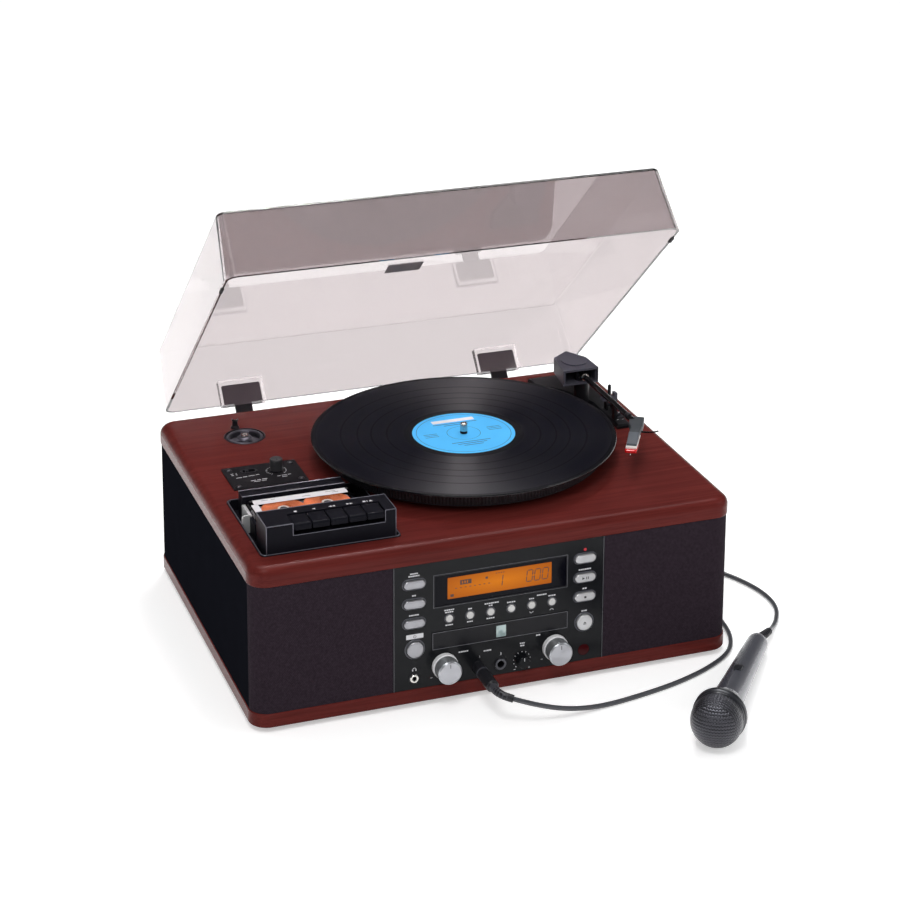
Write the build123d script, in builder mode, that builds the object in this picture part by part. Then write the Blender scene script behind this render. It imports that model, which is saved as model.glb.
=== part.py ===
"""A tabletop music centre with a disc tray, a record player, a cassette recorder and a hand microphone.

Millimetres. +X is the object's right, -Y its front, +Z up. The origin is under the middle of the cabinet,
on the surface that its feet stand on. The dust cover is modelled where it stands open.
"""

import os
from math import atan2, cos, degrees, pi, radians, sin, tan

from build123d import *

os.makedirs("parts", exist_ok=True)


def save(part, label):
    """Name a finished piece and write it as one STEP file."""
    part.label = label
    export_step(part, f"parts/{label}.step")


# ---------------------------------------------------------------- driving dimensions
case_w, case_d = 473.0, 367.0  # outline of the two boards
corner_r = 18.0  # plan radius of the boards' corners
foot_h = 5.0
bottom_t = 14.0
body_h = 123.5  # side panels, between the boards
top_t = 18.8
bullnose = 9.0  # round on the top board's upper edge
board_lip = 1.0  # how far the boards stand out past the panels
panel_t = 12.0

bottom_z = foot_h + bottom_t  # top face of the bottom board
under_z = bottom_z + body_h  # underside of the top board
top_z = under_z + top_t  # the playing deck
half_w, half_d = case_w / 2, case_d / 2
body_x, body_y = half_w - board_lip, half_d - board_lip
body_r = corner_r - board_lip
front_y = -body_y  # front face of the fascia and of the cloth

fit = 0.1  # a sliding part in its opening, per side
gap = 0.3  # neighbours that must not touch
press = 0.05  # round parts that turn in a bore

platter_x, platter_y = 31.3, 3.4
record_r, record_t = 150.8, 1.8
record_z = top_z + 20.7  # top face of the record
platter_r = 138.0
platter_low = top_z + 4.7  # lower edge of the platter's rim
mat_t = 1.6
spindle_r, spindle_neck_r, centre_hole_r = 3.575, 3.4, 3.62

fascia_x = 104.0  # half width of the front panel
fascia_t = 6.0

# ---------------------------------------------------------------- case: boards, panels, feet
with BuildPart() as bottom_board:
    with BuildSketch(Plane.XY.offset(foot_h)):
        RectangleRounded(case_w, case_d, corner_r)
    extrude(amount=bottom_t)
    fillet(bottom_board.faces().sort_by(Axis.Z)[0].edges(), 2.0)
    fillet(bottom_board.faces().sort_by(Axis.Z)[-1].edges(), 1.0)
save(bottom_board.part, "bottom_board")

foot_r = 14.0
foot_in = 38.0  # from the board's edges to a foot's centre
foot_x, foot_y = half_w - foot_in, half_d - foot_in
with BuildPart() as feet:
    with BuildSketch(Plane.XY):
        with Locations((-foot_x, -foot_y), (foot_x, -foot_y), (-foot_x, foot_y), (foot_x, foot_y)):
            Circle(foot_r)
    extrude(amount=foot_h, taper=8)
save(feet.part, "feet")

# the deck well that the cassette recorder drops into, and the other openings in the top board
well_in_x, well_in_y = 16.5, 24.0  # from the board's left and front edges
well_w, well_l = 133.0, 128.5
well_x0, well_y0 = -half_w + well_in_x, -half_d + well_in_y
well_x1, well_y1 = well_x0 + well_w, well_y0 + well_l
adapter_in = 74.1, 69.8  # from the board's left and back edges
adapter_x, adapter_y = -half_w + adapter_in[0], half_d - adapter_in[1]
adapter_r, adapter_deep = 20.3, 5.0
plate_w, plate_l = 74.0, 52.0
plate_x0, plate_y0 = well_x0 + 14.0, well_y1 + 19.0
plate_x1, plate_y1 = plate_x0 + plate_w, plate_y0 + plate_l
pivot_in = 45.9, 99.5  # from the board's right and back edges
pivot_x, pivot_y = half_w - pivot_in[0], half_d - pivot_in[1]  # the tonearm's vertical axis
motor_x, motor_y = platter_x - 78.0, platter_y + 22.0

with BuildPart() as top_board:
    with BuildSketch(Plane.XY.offset(under_z)):
        RectangleRounded(case_w, case_d, corner_r)
    extrude(amount=top_t)
    fillet(top_board.faces().sort_by(Axis.Z)[-1].edges(), bullnose)
    fillet(top_board.faces().sort_by(Axis.Z)[0].edges(), 1.5)
    with BuildSketch(Plane.XY.offset(under_z)):
        with Locations(((well_x0 + well_x1) / 2, (well_y0 + well_y1) / 2)):
            RectangleRounded(well_x1 - well_x0, well_y1 - well_y0, 5.0)
        with Locations((platter_x, platter_y)):
            Circle(16.0)
        with Locations((motor_x, motor_y)):
            Circle(17.0)
        with Locations(((plate_x0 + plate_x1) / 2, (plate_y0 + plate_y1) / 2)):
            Rectangle(plate_x1 - plate_x0 - 20.0, plate_y1 - plate_y0 - 14.0)
        with Locations((pivot_x, pivot_y)):
            Circle(6.0)
    extrude(amount=top_t, mode=Mode.SUBTRACT)
    with BuildSketch(Plane.XY.offset(top_z - adapter_deep)):
        with Locations((adapter_x, adapter_y)):
            Circle(adapter_r)
    extrude(amount=adapter_deep, mode=Mode.SUBTRACT)
    # a steel stub that centres the stored adapter, and the small post behind it
    with BuildSketch(Plane.XY.offset(top_z - adapter_deep)):
        with Locations((adapter_x, adapter_y)):
            Circle(spindle_r)
    extrude(amount=adapter_deep + 2.5)
    with BuildSketch(Plane.XY.offset(top_z - 2.0)):
        with Locations((adapter_x - 3.4, adapter_y + 25.0)):
            Circle(2.6)
    extrude(amount=12.0)
save(top_board.part, "top_board")

rear_turn = 30.5  # how far the side panels come round the rear corners
rear_half = body_x - rear_turn  # the rear panel ends here
wrap_y = -half_d + corner_r  # the cloth comes round the front corners to here
with BuildPart() as side_panels:
    with BuildSketch(Plane.XY.offset(bottom_z)):
        RectangleRounded(2 * body_x, 2 * body_y, body_r)
        RectangleRounded(2 * (body_x - panel_t), 2 * (body_y - panel_t), body_r - panel_t, mode=Mode.SUBTRACT)
        Rectangle(2 * rear_half, 2 * case_d, mode=Mode.SUBTRACT)
        with Locations((0, wrap_y - corner_r)):
            Rectangle(case_w, 2 * corner_r, mode=Mode.SUBTRACT)
    extrude(amount=body_h)
save(side_panels.part, "side_panels")

rear_t = 6.0
line_out_at = [(-150.0, 60.0), (-132.0, 60.0)]
inlet_at, inlet_w, inlet_h, inlet_deep = (150.0, 42.0), 20.0, 9.0, 14.0
vent_pitch, vent_rows, vent_z = 9.0, 7, 80.0
with BuildPart() as rear_panel:
    with BuildSketch(Plane.XZ.offset(-(body_y - rear_t))):
        with Locations((0, bottom_z + body_h / 2)):
            Rectangle(2 * rear_half - 2 * fit, body_h)
    extrude(amount=-rear_t)
    with BuildSketch(Plane.XZ.offset(-(body_y - rear_t))):
        with Locations((0, vent_z)):
            with GridLocations(60.0, vent_pitch, 3, vent_rows):
                SlotOverall(46.0, 3.4)
    extrude(amount=-rear_t, mode=Mode.SUBTRACT)
    # box of the mains inlet behind the panel, and its mouth
    with BuildSketch(Plane.XZ.offset(-(body_y - inlet_deep - 2.0))):
        with Locations(inlet_at):
            Rectangle(inlet_w + 4.0, inlet_h + 4.0)
    extrude(amount=-(inlet_deep + 2.0 - rear_t))
    with BuildSketch(Plane.XZ.offset(-(body_y - inlet_deep))):
        with Locations(inlet_at):
            RectangleRounded(inlet_w, inlet_h, inlet_h / 2 - 0.1)
    extrude(amount=-inlet_deep, mode=Mode.SUBTRACT)
    with BuildSketch(Plane.XZ.offset(-(body_y - inlet_deep))):
        with Locations((inlet_at[0] - 4.0, inlet_at[1]), (inlet_at[0] + 4.0, inlet_at[1])):
            Circle(1.1)
    extrude(amount=-(inlet_deep - 3.0))
    # line out sockets stand on a small plate
    with BuildSketch(Plane.XZ.offset(-body_y)):
        with Locations((line_out_at[0][0] / 2 + line_out_at[1][0] / 2, line_out_at[0][1])):
            Rectangle(40.0, 18.0)
    extrude(amount=-1.0)
    with BuildSketch(Plane.XZ.offset(-(body_y + 1.0))):
        with Locations(*line_out_at):
            Circle(4.15)
    extrude(amount=-8.0)
    with BuildSketch(Plane.XZ.offset(-(body_y + 9.0))):
        with Locations(*line_out_at):
            Circle(1.7)
    extrude(amount=8.0, mode=Mode.SUBTRACT)
save(rear_panel.part, "rear_panel")

# ---------------------------------------------------------------- front: baffle, cloth, fascia
cloth_t = 4.0
baffle_t = 12.0
baffle_y = front_y + cloth_t + gap  # front face of the baffle
baffle_x0, baffle_x1 = fascia_x + gap, body_x - panel_t - gap  # one board's inner and outer edge
baffle_cut = 4.0  # chamfer that clears the round of the cloth
speaker_r = 44.0
speaker_x = (baffle_x0 + baffle_x1 - baffle_cut) / 2
speaker_z = bottom_z + body_h / 2
with BuildPart() as baffle:
    with BuildSketch(Plane.XZ.offset(-baffle_y)):
        with Locations((0, speaker_z)):
            Rectangle(2 * baffle_x1, body_h)
            Rectangle(2 * baffle_x0, 2 * body_h, mode=Mode.SUBTRACT)
        with Locations((-speaker_x, speaker_z), (speaker_x, speaker_z)):
            Circle(speaker_r, mode=Mode.SUBTRACT)
    extrude(amount=-baffle_t)
    front_edges = baffle.edges().filter_by(Axis.Z).group_by(Axis.Y)[0].sort_by(Axis.X)
    chamfer([front_edges[0], front_edges[-1]], baffle_cut)
save(baffle.part, "baffle")

with BuildPart() as speaker_grilles:
    with BuildSketch(Plane.XY.offset(bottom_z)):
        RectangleRounded(2 * body_x, 2 * body_y, body_r)
        RectangleRounded(2 * (body_x - cloth_t), 2 * (body_y - cloth_t), body_r - cloth_t, mode=Mode.SUBTRACT)
        with Locations((0, wrap_y - gap + case_d)):
            Rectangle(2 * case_w, 2 * case_d, mode=Mode.SUBTRACT)
        Rectangle(2 * (fascia_x + fit), 2 * case_d, mode=Mode.SUBTRACT)
    extrude(amount=body_h)
save(speaker_grilles.part, "speaker_grilles")

with BuildPart() as speakers:
    for side in (-1, 1):
        with BuildSketch(Plane.XZ.offset(-(baffle_y + baffle_t + gap))):
            with Locations((side * speaker_x, speaker_z)):
                Circle(speaker_r + 6)
                Circle(speaker_r - 6, mode=Mode.SUBTRACT)
        extrude(amount=-3.0)
        with BuildSketch(Plane.XZ.offset(-(baffle_y + baffle_t + gap + 3.0))):
            with Locations((side * speaker_x, speaker_z)):
                Circle(speaker_r - 2)
        extrude(amount=-26.0, taper=30)
        with BuildSketch(Plane.XZ.offset(-(baffle_y + baffle_t + gap + 29.0))):
            with Locations((side * speaker_x, speaker_z)):
                Circle(34.0)
        extrude(amount=-16.0)
save(speakers.part, "speakers")

# places on the front panel, as (x, z)
bezel_w, bezel_h, bezel_x, bezel_z = 130.5, 31.0, 1.0, under_z - 29.5
bezel_deep = 2.5
tray_w, tray_h, tray_x, tray_z = 134.0, 17.4, 0.7, 63.8
pill_w, pill_h = 20.0, 8.0
pill_pitch = 19.4
pill_left = [(-83.8, under_z - 18.5 - i * pill_pitch) for i in range(3)]
pill_right = [(84.4, under_z - 19.2 - i * pill_pitch) for i in range(3)]
power_at, power_r = (-83.0, 59.1), 7.9
eject_at, eject_r = (84.4, 58.3), 7.7
small_r, small_pitch, small_z, small_x = 3.5, 20.25, under_z - 58.0, -49.7
small_at = [(small_x + i * small_pitch, small_z) for i in range(6)]
knob_at, knob_r, knob_out = [(-54.4, 38.4), (54.8, 38.2)], 11.0, 18.0
mic_level_at, mic_level_r = (22.4, 29.9), 5.6
jack_at = [(-21.0, 30.0), (0.8, 30.0)]
phones_at = (-83.7, 30.0)
sensor_at, sensor_r = (84.6, 29.6), 5.8
shaft_r = 3.0
button_fit = 0.25

with BuildPart() as front_panel:
    with BuildSketch(Plane.XZ.offset(-front_y)):
        with Locations((0, speaker_z)):
            Rectangle(2 * fascia_x, body_h)
    extrude(amount=-fascia_t)
    with BuildSketch(Plane.XZ.offset(-front_y)):
        with Locations((bezel_x, bezel_z)):
            Rectangle(bezel_w, bezel_h)
    extrude(amount=-bezel_deep, mode=Mode.SUBTRACT)
    with BuildSketch(Plane.XZ.offset(-front_y)):
        with Locations((tray_x, tray_z)):
            Rectangle(tray_w + 2 * gap, tray_h + 2 * gap)
        with Locations(*pill_left, *pill_right):
            SlotOverall(pill_w + 2 * button_fit, pill_h + 2 * button_fit)
        with Locations(power_at):
            Circle(power_r + button_fit)
        with Locations(eject_at):
            Circle(eject_r + button_fit)
        with Locations(*small_at):
            Circle(small_r + button_fit)
        with Locations(*knob_at, mic_level_at):
            Circle(shaft_r + press)
        with Locations(*jack_at):
            Circle(5.0)
        with Locations(phones_at):
            Circle(3.6)
        with Locations(sensor_at):
            Circle(sensor_r)
    extrude(amount=-fascia_t, mode=Mode.SUBTRACT)
save(front_panel.part, "front_panel")

with BuildPart() as front_windows:
    with BuildSketch(Plane.XZ.offset(-(front_y + 0.4))):
        with Locations((bezel_x, bezel_z)):
            Rectangle(bezel_w - 2 * fit, bezel_h - 2 * fit)
    extrude(amount=-(bezel_deep - 0.4))
    with BuildSketch(Plane.XZ.offset(-(front_y + 0.3))):
        with Locations(sensor_at):
            Circle(sensor_r - fit)
    extrude(amount=-(fascia_t - 1))
save(front_windows.part, "front_windows")


def push_button(label, place, sketch_size, round_button, out):
    """A cap that slides in the front panel, on a flange behind it and a stem to its switch."""
    x, z = place
    with BuildPart() as button:
        with BuildSketch(Plane.XZ.offset(-(front_y - out))):
            with Locations((x, z)):
                if round_button:
                    Circle(sketch_size)
                else:
                    SlotOverall(*sketch_size)
        extrude(amount=-(out + fascia_t + 2.2))
        chamfer(button.faces().sort_by(Axis.Y)[0].edges(), 0.6)
        with BuildSketch(Plane.XZ.offset(-(front_y + fascia_t + 2.2))):
            with Locations((x, z)):
                Circle(2.0)
        extrude(amount=-4.0)
    save(button.part, label)


button_out = 2.4
for label, place in zip(("source_button_upper", "source_button_middle", "source_button_lower"), pill_left):
    push_button(label, place, (pill_w, pill_h), False, button_out)
for label, place in zip(("record_button", "play_pause_button", "stop_button"), pill_right):
    push_button(label, place, (pill_w, pill_h), False, button_out)
push_button("power_button", power_at, power_r, True, button_out)
push_button("tray_eject_button", eject_at, eject_r, True, button_out)
small_names = ("mode", "memory", "search", "clock", "skip_back", "skip_forward")
for name, place in zip(small_names, small_at):
    push_button(f"{name}_button", place, small_r, True, 1.6)


def turned_knob(label, place, radius, out, base_ring):
    """A knob on a shaft that turns in the front panel, with a pointer notch in its face."""
    x, z = place
    with BuildPart() as knob:
        with BuildSketch(Plane.XZ.offset(-(front_y - 0.5))):
            with Locations((x, z)):
                Circle(radius + base_ring)
        extrude(amount=out / 4)
        with BuildSketch(Plane.XZ.offset(-(front_y - 0.5 - out / 4))):
            with Locations((x, z)):
                Circle(radius + base_ring / 2)
        extrude(amount=out * 3 / 4 - 0.5)
        chamfer(knob.faces().sort_by(Axis.Y)[0].edges(), 0.8)
        with BuildSketch(Plane.XZ.offset(-(front_y - out))):
            with Locations((x, z + radius * 0.7)):
                Rectangle(1.0, radius * 0.5)
        extrude(amount=-0.6, mode=Mode.SUBTRACT)
        with BuildSketch(Plane.XZ.offset(-(front_y - 0.5))):
            with Locations((x, z)):
                Circle(shaft_r)
        extrude(amount=-(fascia_t + 8.0))
    save(knob.part, label)


turned_knob("record_level_knob", knob_at[0], knob_r, knob_out, 1.2)
turned_knob("volume_knob", knob_at[1], knob_r, knob_out, 1.2)
turned_knob("mic_level_knob", mic_level_at, mic_level_r, 7.0, 0.6)

# sockets: a nut ring outside, a threaded barrel through the panel and a body behind it
jack_bore, phones_bore = 3.3, 1.85
jack_deep, phones_deep = 30.0, 16.0
with BuildPart() as jacks:
    for place in jack_at:
        with BuildSketch(Plane.XZ.offset(-(front_y - 1.2))):
            with Locations(place):
                Circle(5.6)
        extrude(amount=-1.2)
        with BuildSketch(Plane.XZ.offset(-front_y)):
            with Locations(place):
                Circle(5.0 - press)
        extrude(amount=-fascia_t)
        with BuildSketch(Plane.XZ.offset(-(front_y + fascia_t))):
            with Locations(place):
                Rectangle(14.0, 14.0)
        extrude(amount=-(jack_deep - 4.0))
        with BuildSketch(Plane.XZ.offset(-(front_y - 1.2))):
            with Locations(place):
                Circle(jack_bore)
        extrude(amount=-jack_deep, mode=Mode.SUBTRACT)
    with BuildSketch(Plane.XZ.offset(-(front_y - 0.8))):
        with Locations(phones_at):
            Circle(4.4)
    extrude(amount=-0.8)
    with BuildSketch(Plane.XZ.offset(-front_y)):
        with Locations(phones_at):
            Circle(3.6 - press)
    extrude(amount=-fascia_t)
    with BuildSketch(Plane.XZ.offset(-(front_y + fascia_t))):
        with Locations(phones_at):
            Rectangle(11.0, 11.0)
    extrude(amount=-(phones_deep - 2.0))
    with BuildSketch(Plane.XZ.offset(-(front_y - 0.8))):
        with Locations(phones_at):
            Circle(phones_bore)
    extrude(amount=-phones_deep, mode=Mode.SUBTRACT)
save(jacks.part, "jacks")

# ---------------------------------------------------------------- disc drive
tray_travel = 135.0
tray_l = 158.0
tray_plate = 3.0
disc_r = 60.0
tray_side = 3.0
tray_floor_z = tray_z - tray_h / 2 + 3.6  # underside of the tray plate
with BuildPart() as disc_tray:
    with BuildSketch(Plane.XZ.offset(-(front_y - 0.6))):
        with Locations((tray_x, tray_z)):
            Rectangle(tray_w, tray_h)
    extrude(amount=-5.2)
    with BuildSketch(Plane.XY.offset(tray_floor_z)):
        with Locations((tray_x, front_y + 4.6 + tray_l / 2)):
            Rectangle(tray_w - 6.0, tray_l)
    extrude(amount=tray_plate + 3.4)
    # the dish for a full disc, a smaller step in it, and the slot for spindle and pickup
    disc_y = front_y + 4.6 + 8.0 + disc_r
    with BuildSketch(Plane.XY.offset(tray_floor_z + tray_plate)):
        with Locations((tray_x, disc_y)):
            Circle(disc_r + 0.8)
    extrude(amount=3.4, mode=Mode.SUBTRACT)
    with BuildSketch(Plane.XY.offset(tray_floor_z + tray_plate - 1.2)):
        with Locations((tray_x, disc_y)):
            Circle(disc_r * 2 / 3 + 0.6)
    extrude(amount=1.2, mode=Mode.SUBTRACT)
    with BuildSketch(Plane.XY.offset(tray_floor_z)):
        with Locations((tray_x, disc_y)):
            Circle(19.0)
        with Locations((tray_x, disc_y + 40.0)):
            Rectangle(38.0, 80.0)
        with Locations((tray_x, front_y + 4.6 + tray_l)):
            Rectangle(38.0, 80.0)
    extrude(amount=tray_plate, mode=Mode.SUBTRACT)
save(disc_tray.part, "disc_tray")

# sheet frame with runners under the tray's edges, the disc motor and turntable, and the pickup on its rails
chassis_y0 = front_y + fascia_t + 1.0
chassis_l = tray_l + 6.0
chassis_floor = tray_floor_z - 16.0
with BuildPart() as disc_chassis:
    with BuildSketch(Plane.XY.offset(chassis_floor)):
        with Locations((tray_x, chassis_y0 + chassis_l / 2)):
            Rectangle(tray_w + 8.0, chassis_l)
    extrude(amount=2.0)
    with BuildSketch(Plane.XY.offset(bottom_z)):
        with Locations((tray_x, chassis_y0 + chassis_l / 2)):
            with GridLocations(tray_w - 20.0, chassis_l - 60.0, 2, 2):
                Circle(4.0)
    extrude(amount=chassis_floor - bottom_z)
    for side in (-1, 1):
        with BuildSketch(Plane.XY.offset(chassis_floor)):
            with Locations((tray_x + side * (tray_w / 2 + 2.5), chassis_y0 + chassis_l / 2)):
                Rectangle(3.0, chassis_l)
        extrude(amount=34.0)
        with BuildSketch(Plane.XY.offset(tray_floor_z - 2.0)):
            with Locations((tray_x + side * (tray_w / 2 - 2.5), chassis_y0 + chassis_l / 2)):
                Rectangle(8.0, chassis_l)
        extrude(amount=2.0 - fit)
    with BuildSketch(Plane.XY.offset(chassis_floor + 32.0)):
        with Locations((tray_x, chassis_y0 + 70.0)):
            Rectangle(tray_w + 8.0, 30.0)
    extrude(amount=2.0)
    with BuildSketch(Plane.XY.offset(chassis_floor)):
        with Locations((tray_x, disc_y)):
            Circle(14.0)
    extrude(amount=11.0)
    with BuildSketch(Plane.XY.offset(chassis_floor)):
        with Locations((tray_x, disc_y - 20.0)):
            Rectangle(14.0, 34.0)
        with Locations((tray_x, disc_y + 52.0)):
            Rectangle(90.0, 6.0)
    extrude(amount=2.0)
    with BuildSketch(Plane.XY.offset(chassis_floor + 2.0)):
        with Locations((tray_x - 16.0, disc_y + 34.0), (tray_x + 16.0, disc_y + 34.0)):
            Rectangle(3.0, 42.0)
    extrude(amount=3.0)
    with BuildSketch(Plane.XY.offset(chassis_floor + 5.0)):
        with Locations((tray_x, disc_y + 32.0)):
            Rectangle(36.0, 22.0)
    extrude(amount=6.0)

board_w, board_l, board_t, board_post = 80.0, 64.0, 1.6, 6.0
board_x, board_y = half_w - 76.5, half_d - 98.5
part_h = 22.0
core_w, core_l, core_h = 66.0, 56.0, 46.0
winding_w, winding_l, winding_h = 48.0, 74.0, 30.0
with BuildPart() as inner_works:
    add(disc_chassis.part)
    with BuildSketch(Plane.XY.offset(bottom_z)):
        with Locations((board_x, board_y)):
            with GridLocations(board_w - 20.0, board_l - 14.0, 2, 2):
                Circle(board_post / 2)
    extrude(amount=board_post)
    with BuildSketch(Plane.XY.offset(bottom_z + board_post)):
        with Locations((board_x, board_y)):
            Rectangle(board_w, board_l)
    extrude(amount=board_t)
    # heat sinks on the left, capacitors on the right
    with BuildSketch(Plane.XY.offset(bottom_z + board_post + board_t)):
        with Locations((board_x - board_w / 4, board_y)):
            with GridLocations(0.0, board_l / 2.6, 1, 2):
                Rectangle(board_w / 4, board_l / 8)
        with Locations((board_x + board_w / 4, board_y)):
            with GridLocations(0.0, board_l / 2.6, 1, 2):
                Circle(board_l / 8)
    extrude(amount=part_h)
    # the power transformer, standing by itself on the other side
    with BuildSketch(Plane.XY.offset(bottom_z)):
        with Locations((-board_x, board_y)):
            Rectangle(core_w, core_l)
    extrude(amount=core_h)
    with BuildSketch(Plane.XY.offset(bottom_z + (core_h - winding_h) / 2)):
        with Locations((-board_x, board_y)):
            RectangleRounded(winding_w, winding_l, winding_w / 5)
    extrude(amount=winding_h)
save(inner_works.part, "inner_works")

# ---------------------------------------------------------------- record player
bearing_r = 9.0
with BuildPart() as platter_drive:
    # bearing flange and sleeve that the spindle stands in
    with BuildSketch(Plane.XY.offset(top_z)):
        with Locations((platter_x, platter_y)):
            Circle(22.0)
            Circle(spindle_neck_r + press, mode=Mode.SUBTRACT)
    extrude(amount=2.4)
    with BuildSketch(Plane.XY.offset(top_z - 30.0)):
        with Locations((platter_x, platter_y)):
            Circle(bearing_r)
            Circle(spindle_neck_r + press, mode=Mode.SUBTRACT)
    extrude(amount=34.0)
    # motor can hanging under its mounting plate
    with BuildSketch(Plane.XY.offset(top_z)):
        with Locations((motor_x, motor_y)):
            Circle(20.0)
            Circle(4.0, mode=Mode.SUBTRACT)
    extrude(amount=1.0)
    with BuildSketch(Plane.XY.offset(top_z - 30.0)):
        with Locations((motor_x, motor_y)):
            Circle(16.0)
            Circle(1.0 + press, mode=Mode.SUBTRACT)
    extrude(amount=30.0)
save(platter_drive.part, "platter_drive")

belt_ring_r, pulley_r = 62.0, 6.0
belt_w, belt_t = 4.0, 0.7
belt_z = platter_low + 2.0  # lower edge of the belt
with BuildPart() as motor_pulley:
    with BuildSketch(Plane.XY.offset(belt_z - 1.0)):
        with Locations((motor_x, motor_y)):
            Circle(pulley_r)
    extrude(amount=6.0)
    with BuildSketch(Plane.XY.offset(top_z - 22.0)):
        with Locations((motor_x, motor_y)):
            Circle(1.0)
    extrude(amount=belt_z - top_z + 22.0)
save(motor_pulley.part, "motor_pulley")

platter_top = record_z - record_t - mat_t  # top of the platter's plate, under the mat
spindle_top = record_z + 11.0
plate_under = platter_top - 2.6
platter_wall, belt_ring_t, hub_r = 5.0, 3.0, 8.0
spindle_low = top_z - 22.0
spindle_step = record_z + gap  # the spindle is a little thinner up to here
with BuildPart() as platter:
    # plate with its mat, hub and spindle
    with BuildSketch(Plane.XY.offset(plate_under)):
        with Locations((platter_x, platter_y)):
            Circle(platter_r)
    extrude(amount=platter_top - plate_under)
    with BuildSketch(Plane.XY.offset(platter_low)):
        with Locations((platter_x, platter_y)):
            Circle(hub_r)
    extrude(amount=plate_under - platter_low)
    with BuildSketch(Plane.XY.offset(platter_top)):
        with Locations((platter_x, platter_y)):
            Circle(platter_r - 1.0)
    extrude(amount=mat_t)
    with BuildSketch(Plane.XY.offset(spindle_low)):
        with Locations((platter_x, platter_y)):
            Circle(spindle_neck_r)
    extrude(amount=spindle_step - spindle_low)
    with BuildSketch(Plane.XY.offset(spindle_step)):
        with Locations((platter_x, platter_y)):
            Circle(spindle_r)
    extrude(amount=spindle_top - spindle_step)
    fillet(platter.faces().sort_by(Axis.Z)[-1].edges(), 2.0)
save(platter.part, "platter")

with BuildPart() as platter_rings:
    # the deep outer rim, and the ring that the belt runs on
    for ring_r, ring_t in ((platter_r, platter_wall), (belt_ring_r, belt_ring_t)):
        with BuildSketch(Plane.XY.offset(platter_low)):
            with Locations((platter_x, platter_y)):
                Circle(ring_r)
                Circle(ring_r - ring_t, mode=Mode.SUBTRACT)
        extrude(amount=plate_under - platter_low)
save(platter_rings.part, "platter_rings")

label_r = 50.9
with BuildPart() as record:
    with BuildSketch(Plane.XY.offset(record_z - record_t)):
        with Locations((platter_x, platter_y)):
            Circle(record_r)
            Circle(centre_hole_r, mode=Mode.SUBTRACT)
    extrude(amount=record_t)
    chamfer(record.edges().filter_by(GeomType.CIRCLE).group_by(SortBy.RADIUS)[-1], 0.5)
save(record.part, "record")

# ---------------------------------------------------------------- tonearm
base_t = 4.2
base_z = top_z + base_t
speed_x, speed_y = pivot_x + 18.4, pivot_y - 54.0
cue_x, cue_y, cue_z = pivot_x + 17.4, pivot_y - 33.0, base_z + 6.0  # the lever's axis, along X
rest_x, rest_y = pivot_x + 11.6, pivot_y - 60.0
arm_z = record_z + 11.5
cap_low, cap_high = arm_z - 7.0, arm_z + 9.5
cap_wall = 2.0
column_r = 8.0
arm_shaft_r, arm_r = 3.0, 2.8
stylus_z = record_z + 0.3
# outlines in plan, from the pivot
cap_corners = [(-24.1, -10.0), (14.6, -10.0), (13.4, 21.0), (0.4, 44.0), (-19.0, 30.0)]
base_corners = [(7.9, -77.0), (23.4, -77.0), (25.4, -24.0), (25.4, 74.0), (-30.6, 74.0), (-30.6, 56.0),
                (-11.6, 33.0), (0.4, 12.0), (7.4, -12.0)]
cap_outline = [(pivot_x + x, pivot_y + y) for x, y in cap_corners]
base_outline = [(pivot_x + x, pivot_y + y) for x, y in base_corners]
with BuildPart() as arm_base:
    with BuildSketch(Plane.XY.offset(top_z)):
        Polygon(*base_outline, align=None)
    extrude(amount=base_t)
    chamfer(arm_base.faces().sort_by(Axis.Z)[-1].edges(), 1.8)
    # recess of the speed switch
    with BuildSketch(Plane.XY.offset(base_z - 2.0)):
        with Locations((speed_x, speed_y)):
            Circle(5.5)
    extrude(amount=2.0, mode=Mode.SUBTRACT)
    # hollow column under the pivot
    with BuildSketch(Plane.XY.offset(top_z)):
        with Locations((pivot_x, pivot_y)):
            Circle(column_r)
    extrude(amount=cap_low - top_z)
    # cap: a cover that is open to the front, with a floor around the pivot
    with BuildSketch(Plane.XY.offset(cap_low)):
        Polygon(*cap_outline, align=None)
    extrude(amount=cap_high - cap_low)
    with BuildSketch(Plane.XY.offset(cap_low + cap_wall)):
        with BuildLine():
            Polyline(*cap_outline, close=True)
        make_face()
        offset(amount=-cap_wall, kind=Kind.INTERSECTION, mode=Mode.REPLACE)
        with Locations((pivot_x - 4.0, cap_outline[0][1])):
            Rectangle(36.0, 3 * cap_wall)
    extrude(amount=cap_high - cap_low - 2 * cap_wall, mode=Mode.SUBTRACT)
    with BuildSketch(Plane.XY.offset(top_z + 2.0)):
        with Locations((pivot_x, pivot_y)):
            Circle(arm_shaft_r + press)
    extrude(amount=cap_low + cap_wall - top_z - 2.0, mode=Mode.SUBTRACT)
    # two lobes stand on the cap's top
    with BuildSketch(Plane.XY.offset(cap_high)):
        with Locations((pivot_x - 3.0, pivot_y + 15.0)):
            Ellipse(13.0, 16.0)
        with Locations((pivot_x - 3.0, pivot_y - 10.0)):
            Rectangle(60.0, 20.0, mode=Mode.SUBTRACT)
    extrude(amount=1.2)
    # rest for the arm, with a stop on its outer side
    with BuildSketch(Plane.XY.offset(base_z)):
        with Locations((rest_x, rest_y)):
            Rectangle(3.0, 7.0)
    extrude(amount=arm_z + 1.0 - base_z)
    with BuildSketch(Plane.XY.offset(arm_z - arm_r - gap - 3.0)):
        with Locations(((pivot_x - arm_r + rest_x) / 2, rest_y)):
            Rectangle(rest_x - pivot_x + arm_r, 7.0)
    extrude(amount=3.0)
    # two lugs that hold the cue lever
    for side in (-1, 1):
        with BuildSketch(Plane.YZ.offset(cue_x + side * 3.4 - 0.75)):
            with Locations((cue_y, (base_z + cue_z) / 2)):
                Rectangle(7.0, cue_z - base_z)
            with Locations((cue_y, cue_z)):
                Circle(3.5)
                Circle(1.2 + press, mode=Mode.SUBTRACT)
        extrude(amount=1.5)
save(arm_base.part, "arm_base")

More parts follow.
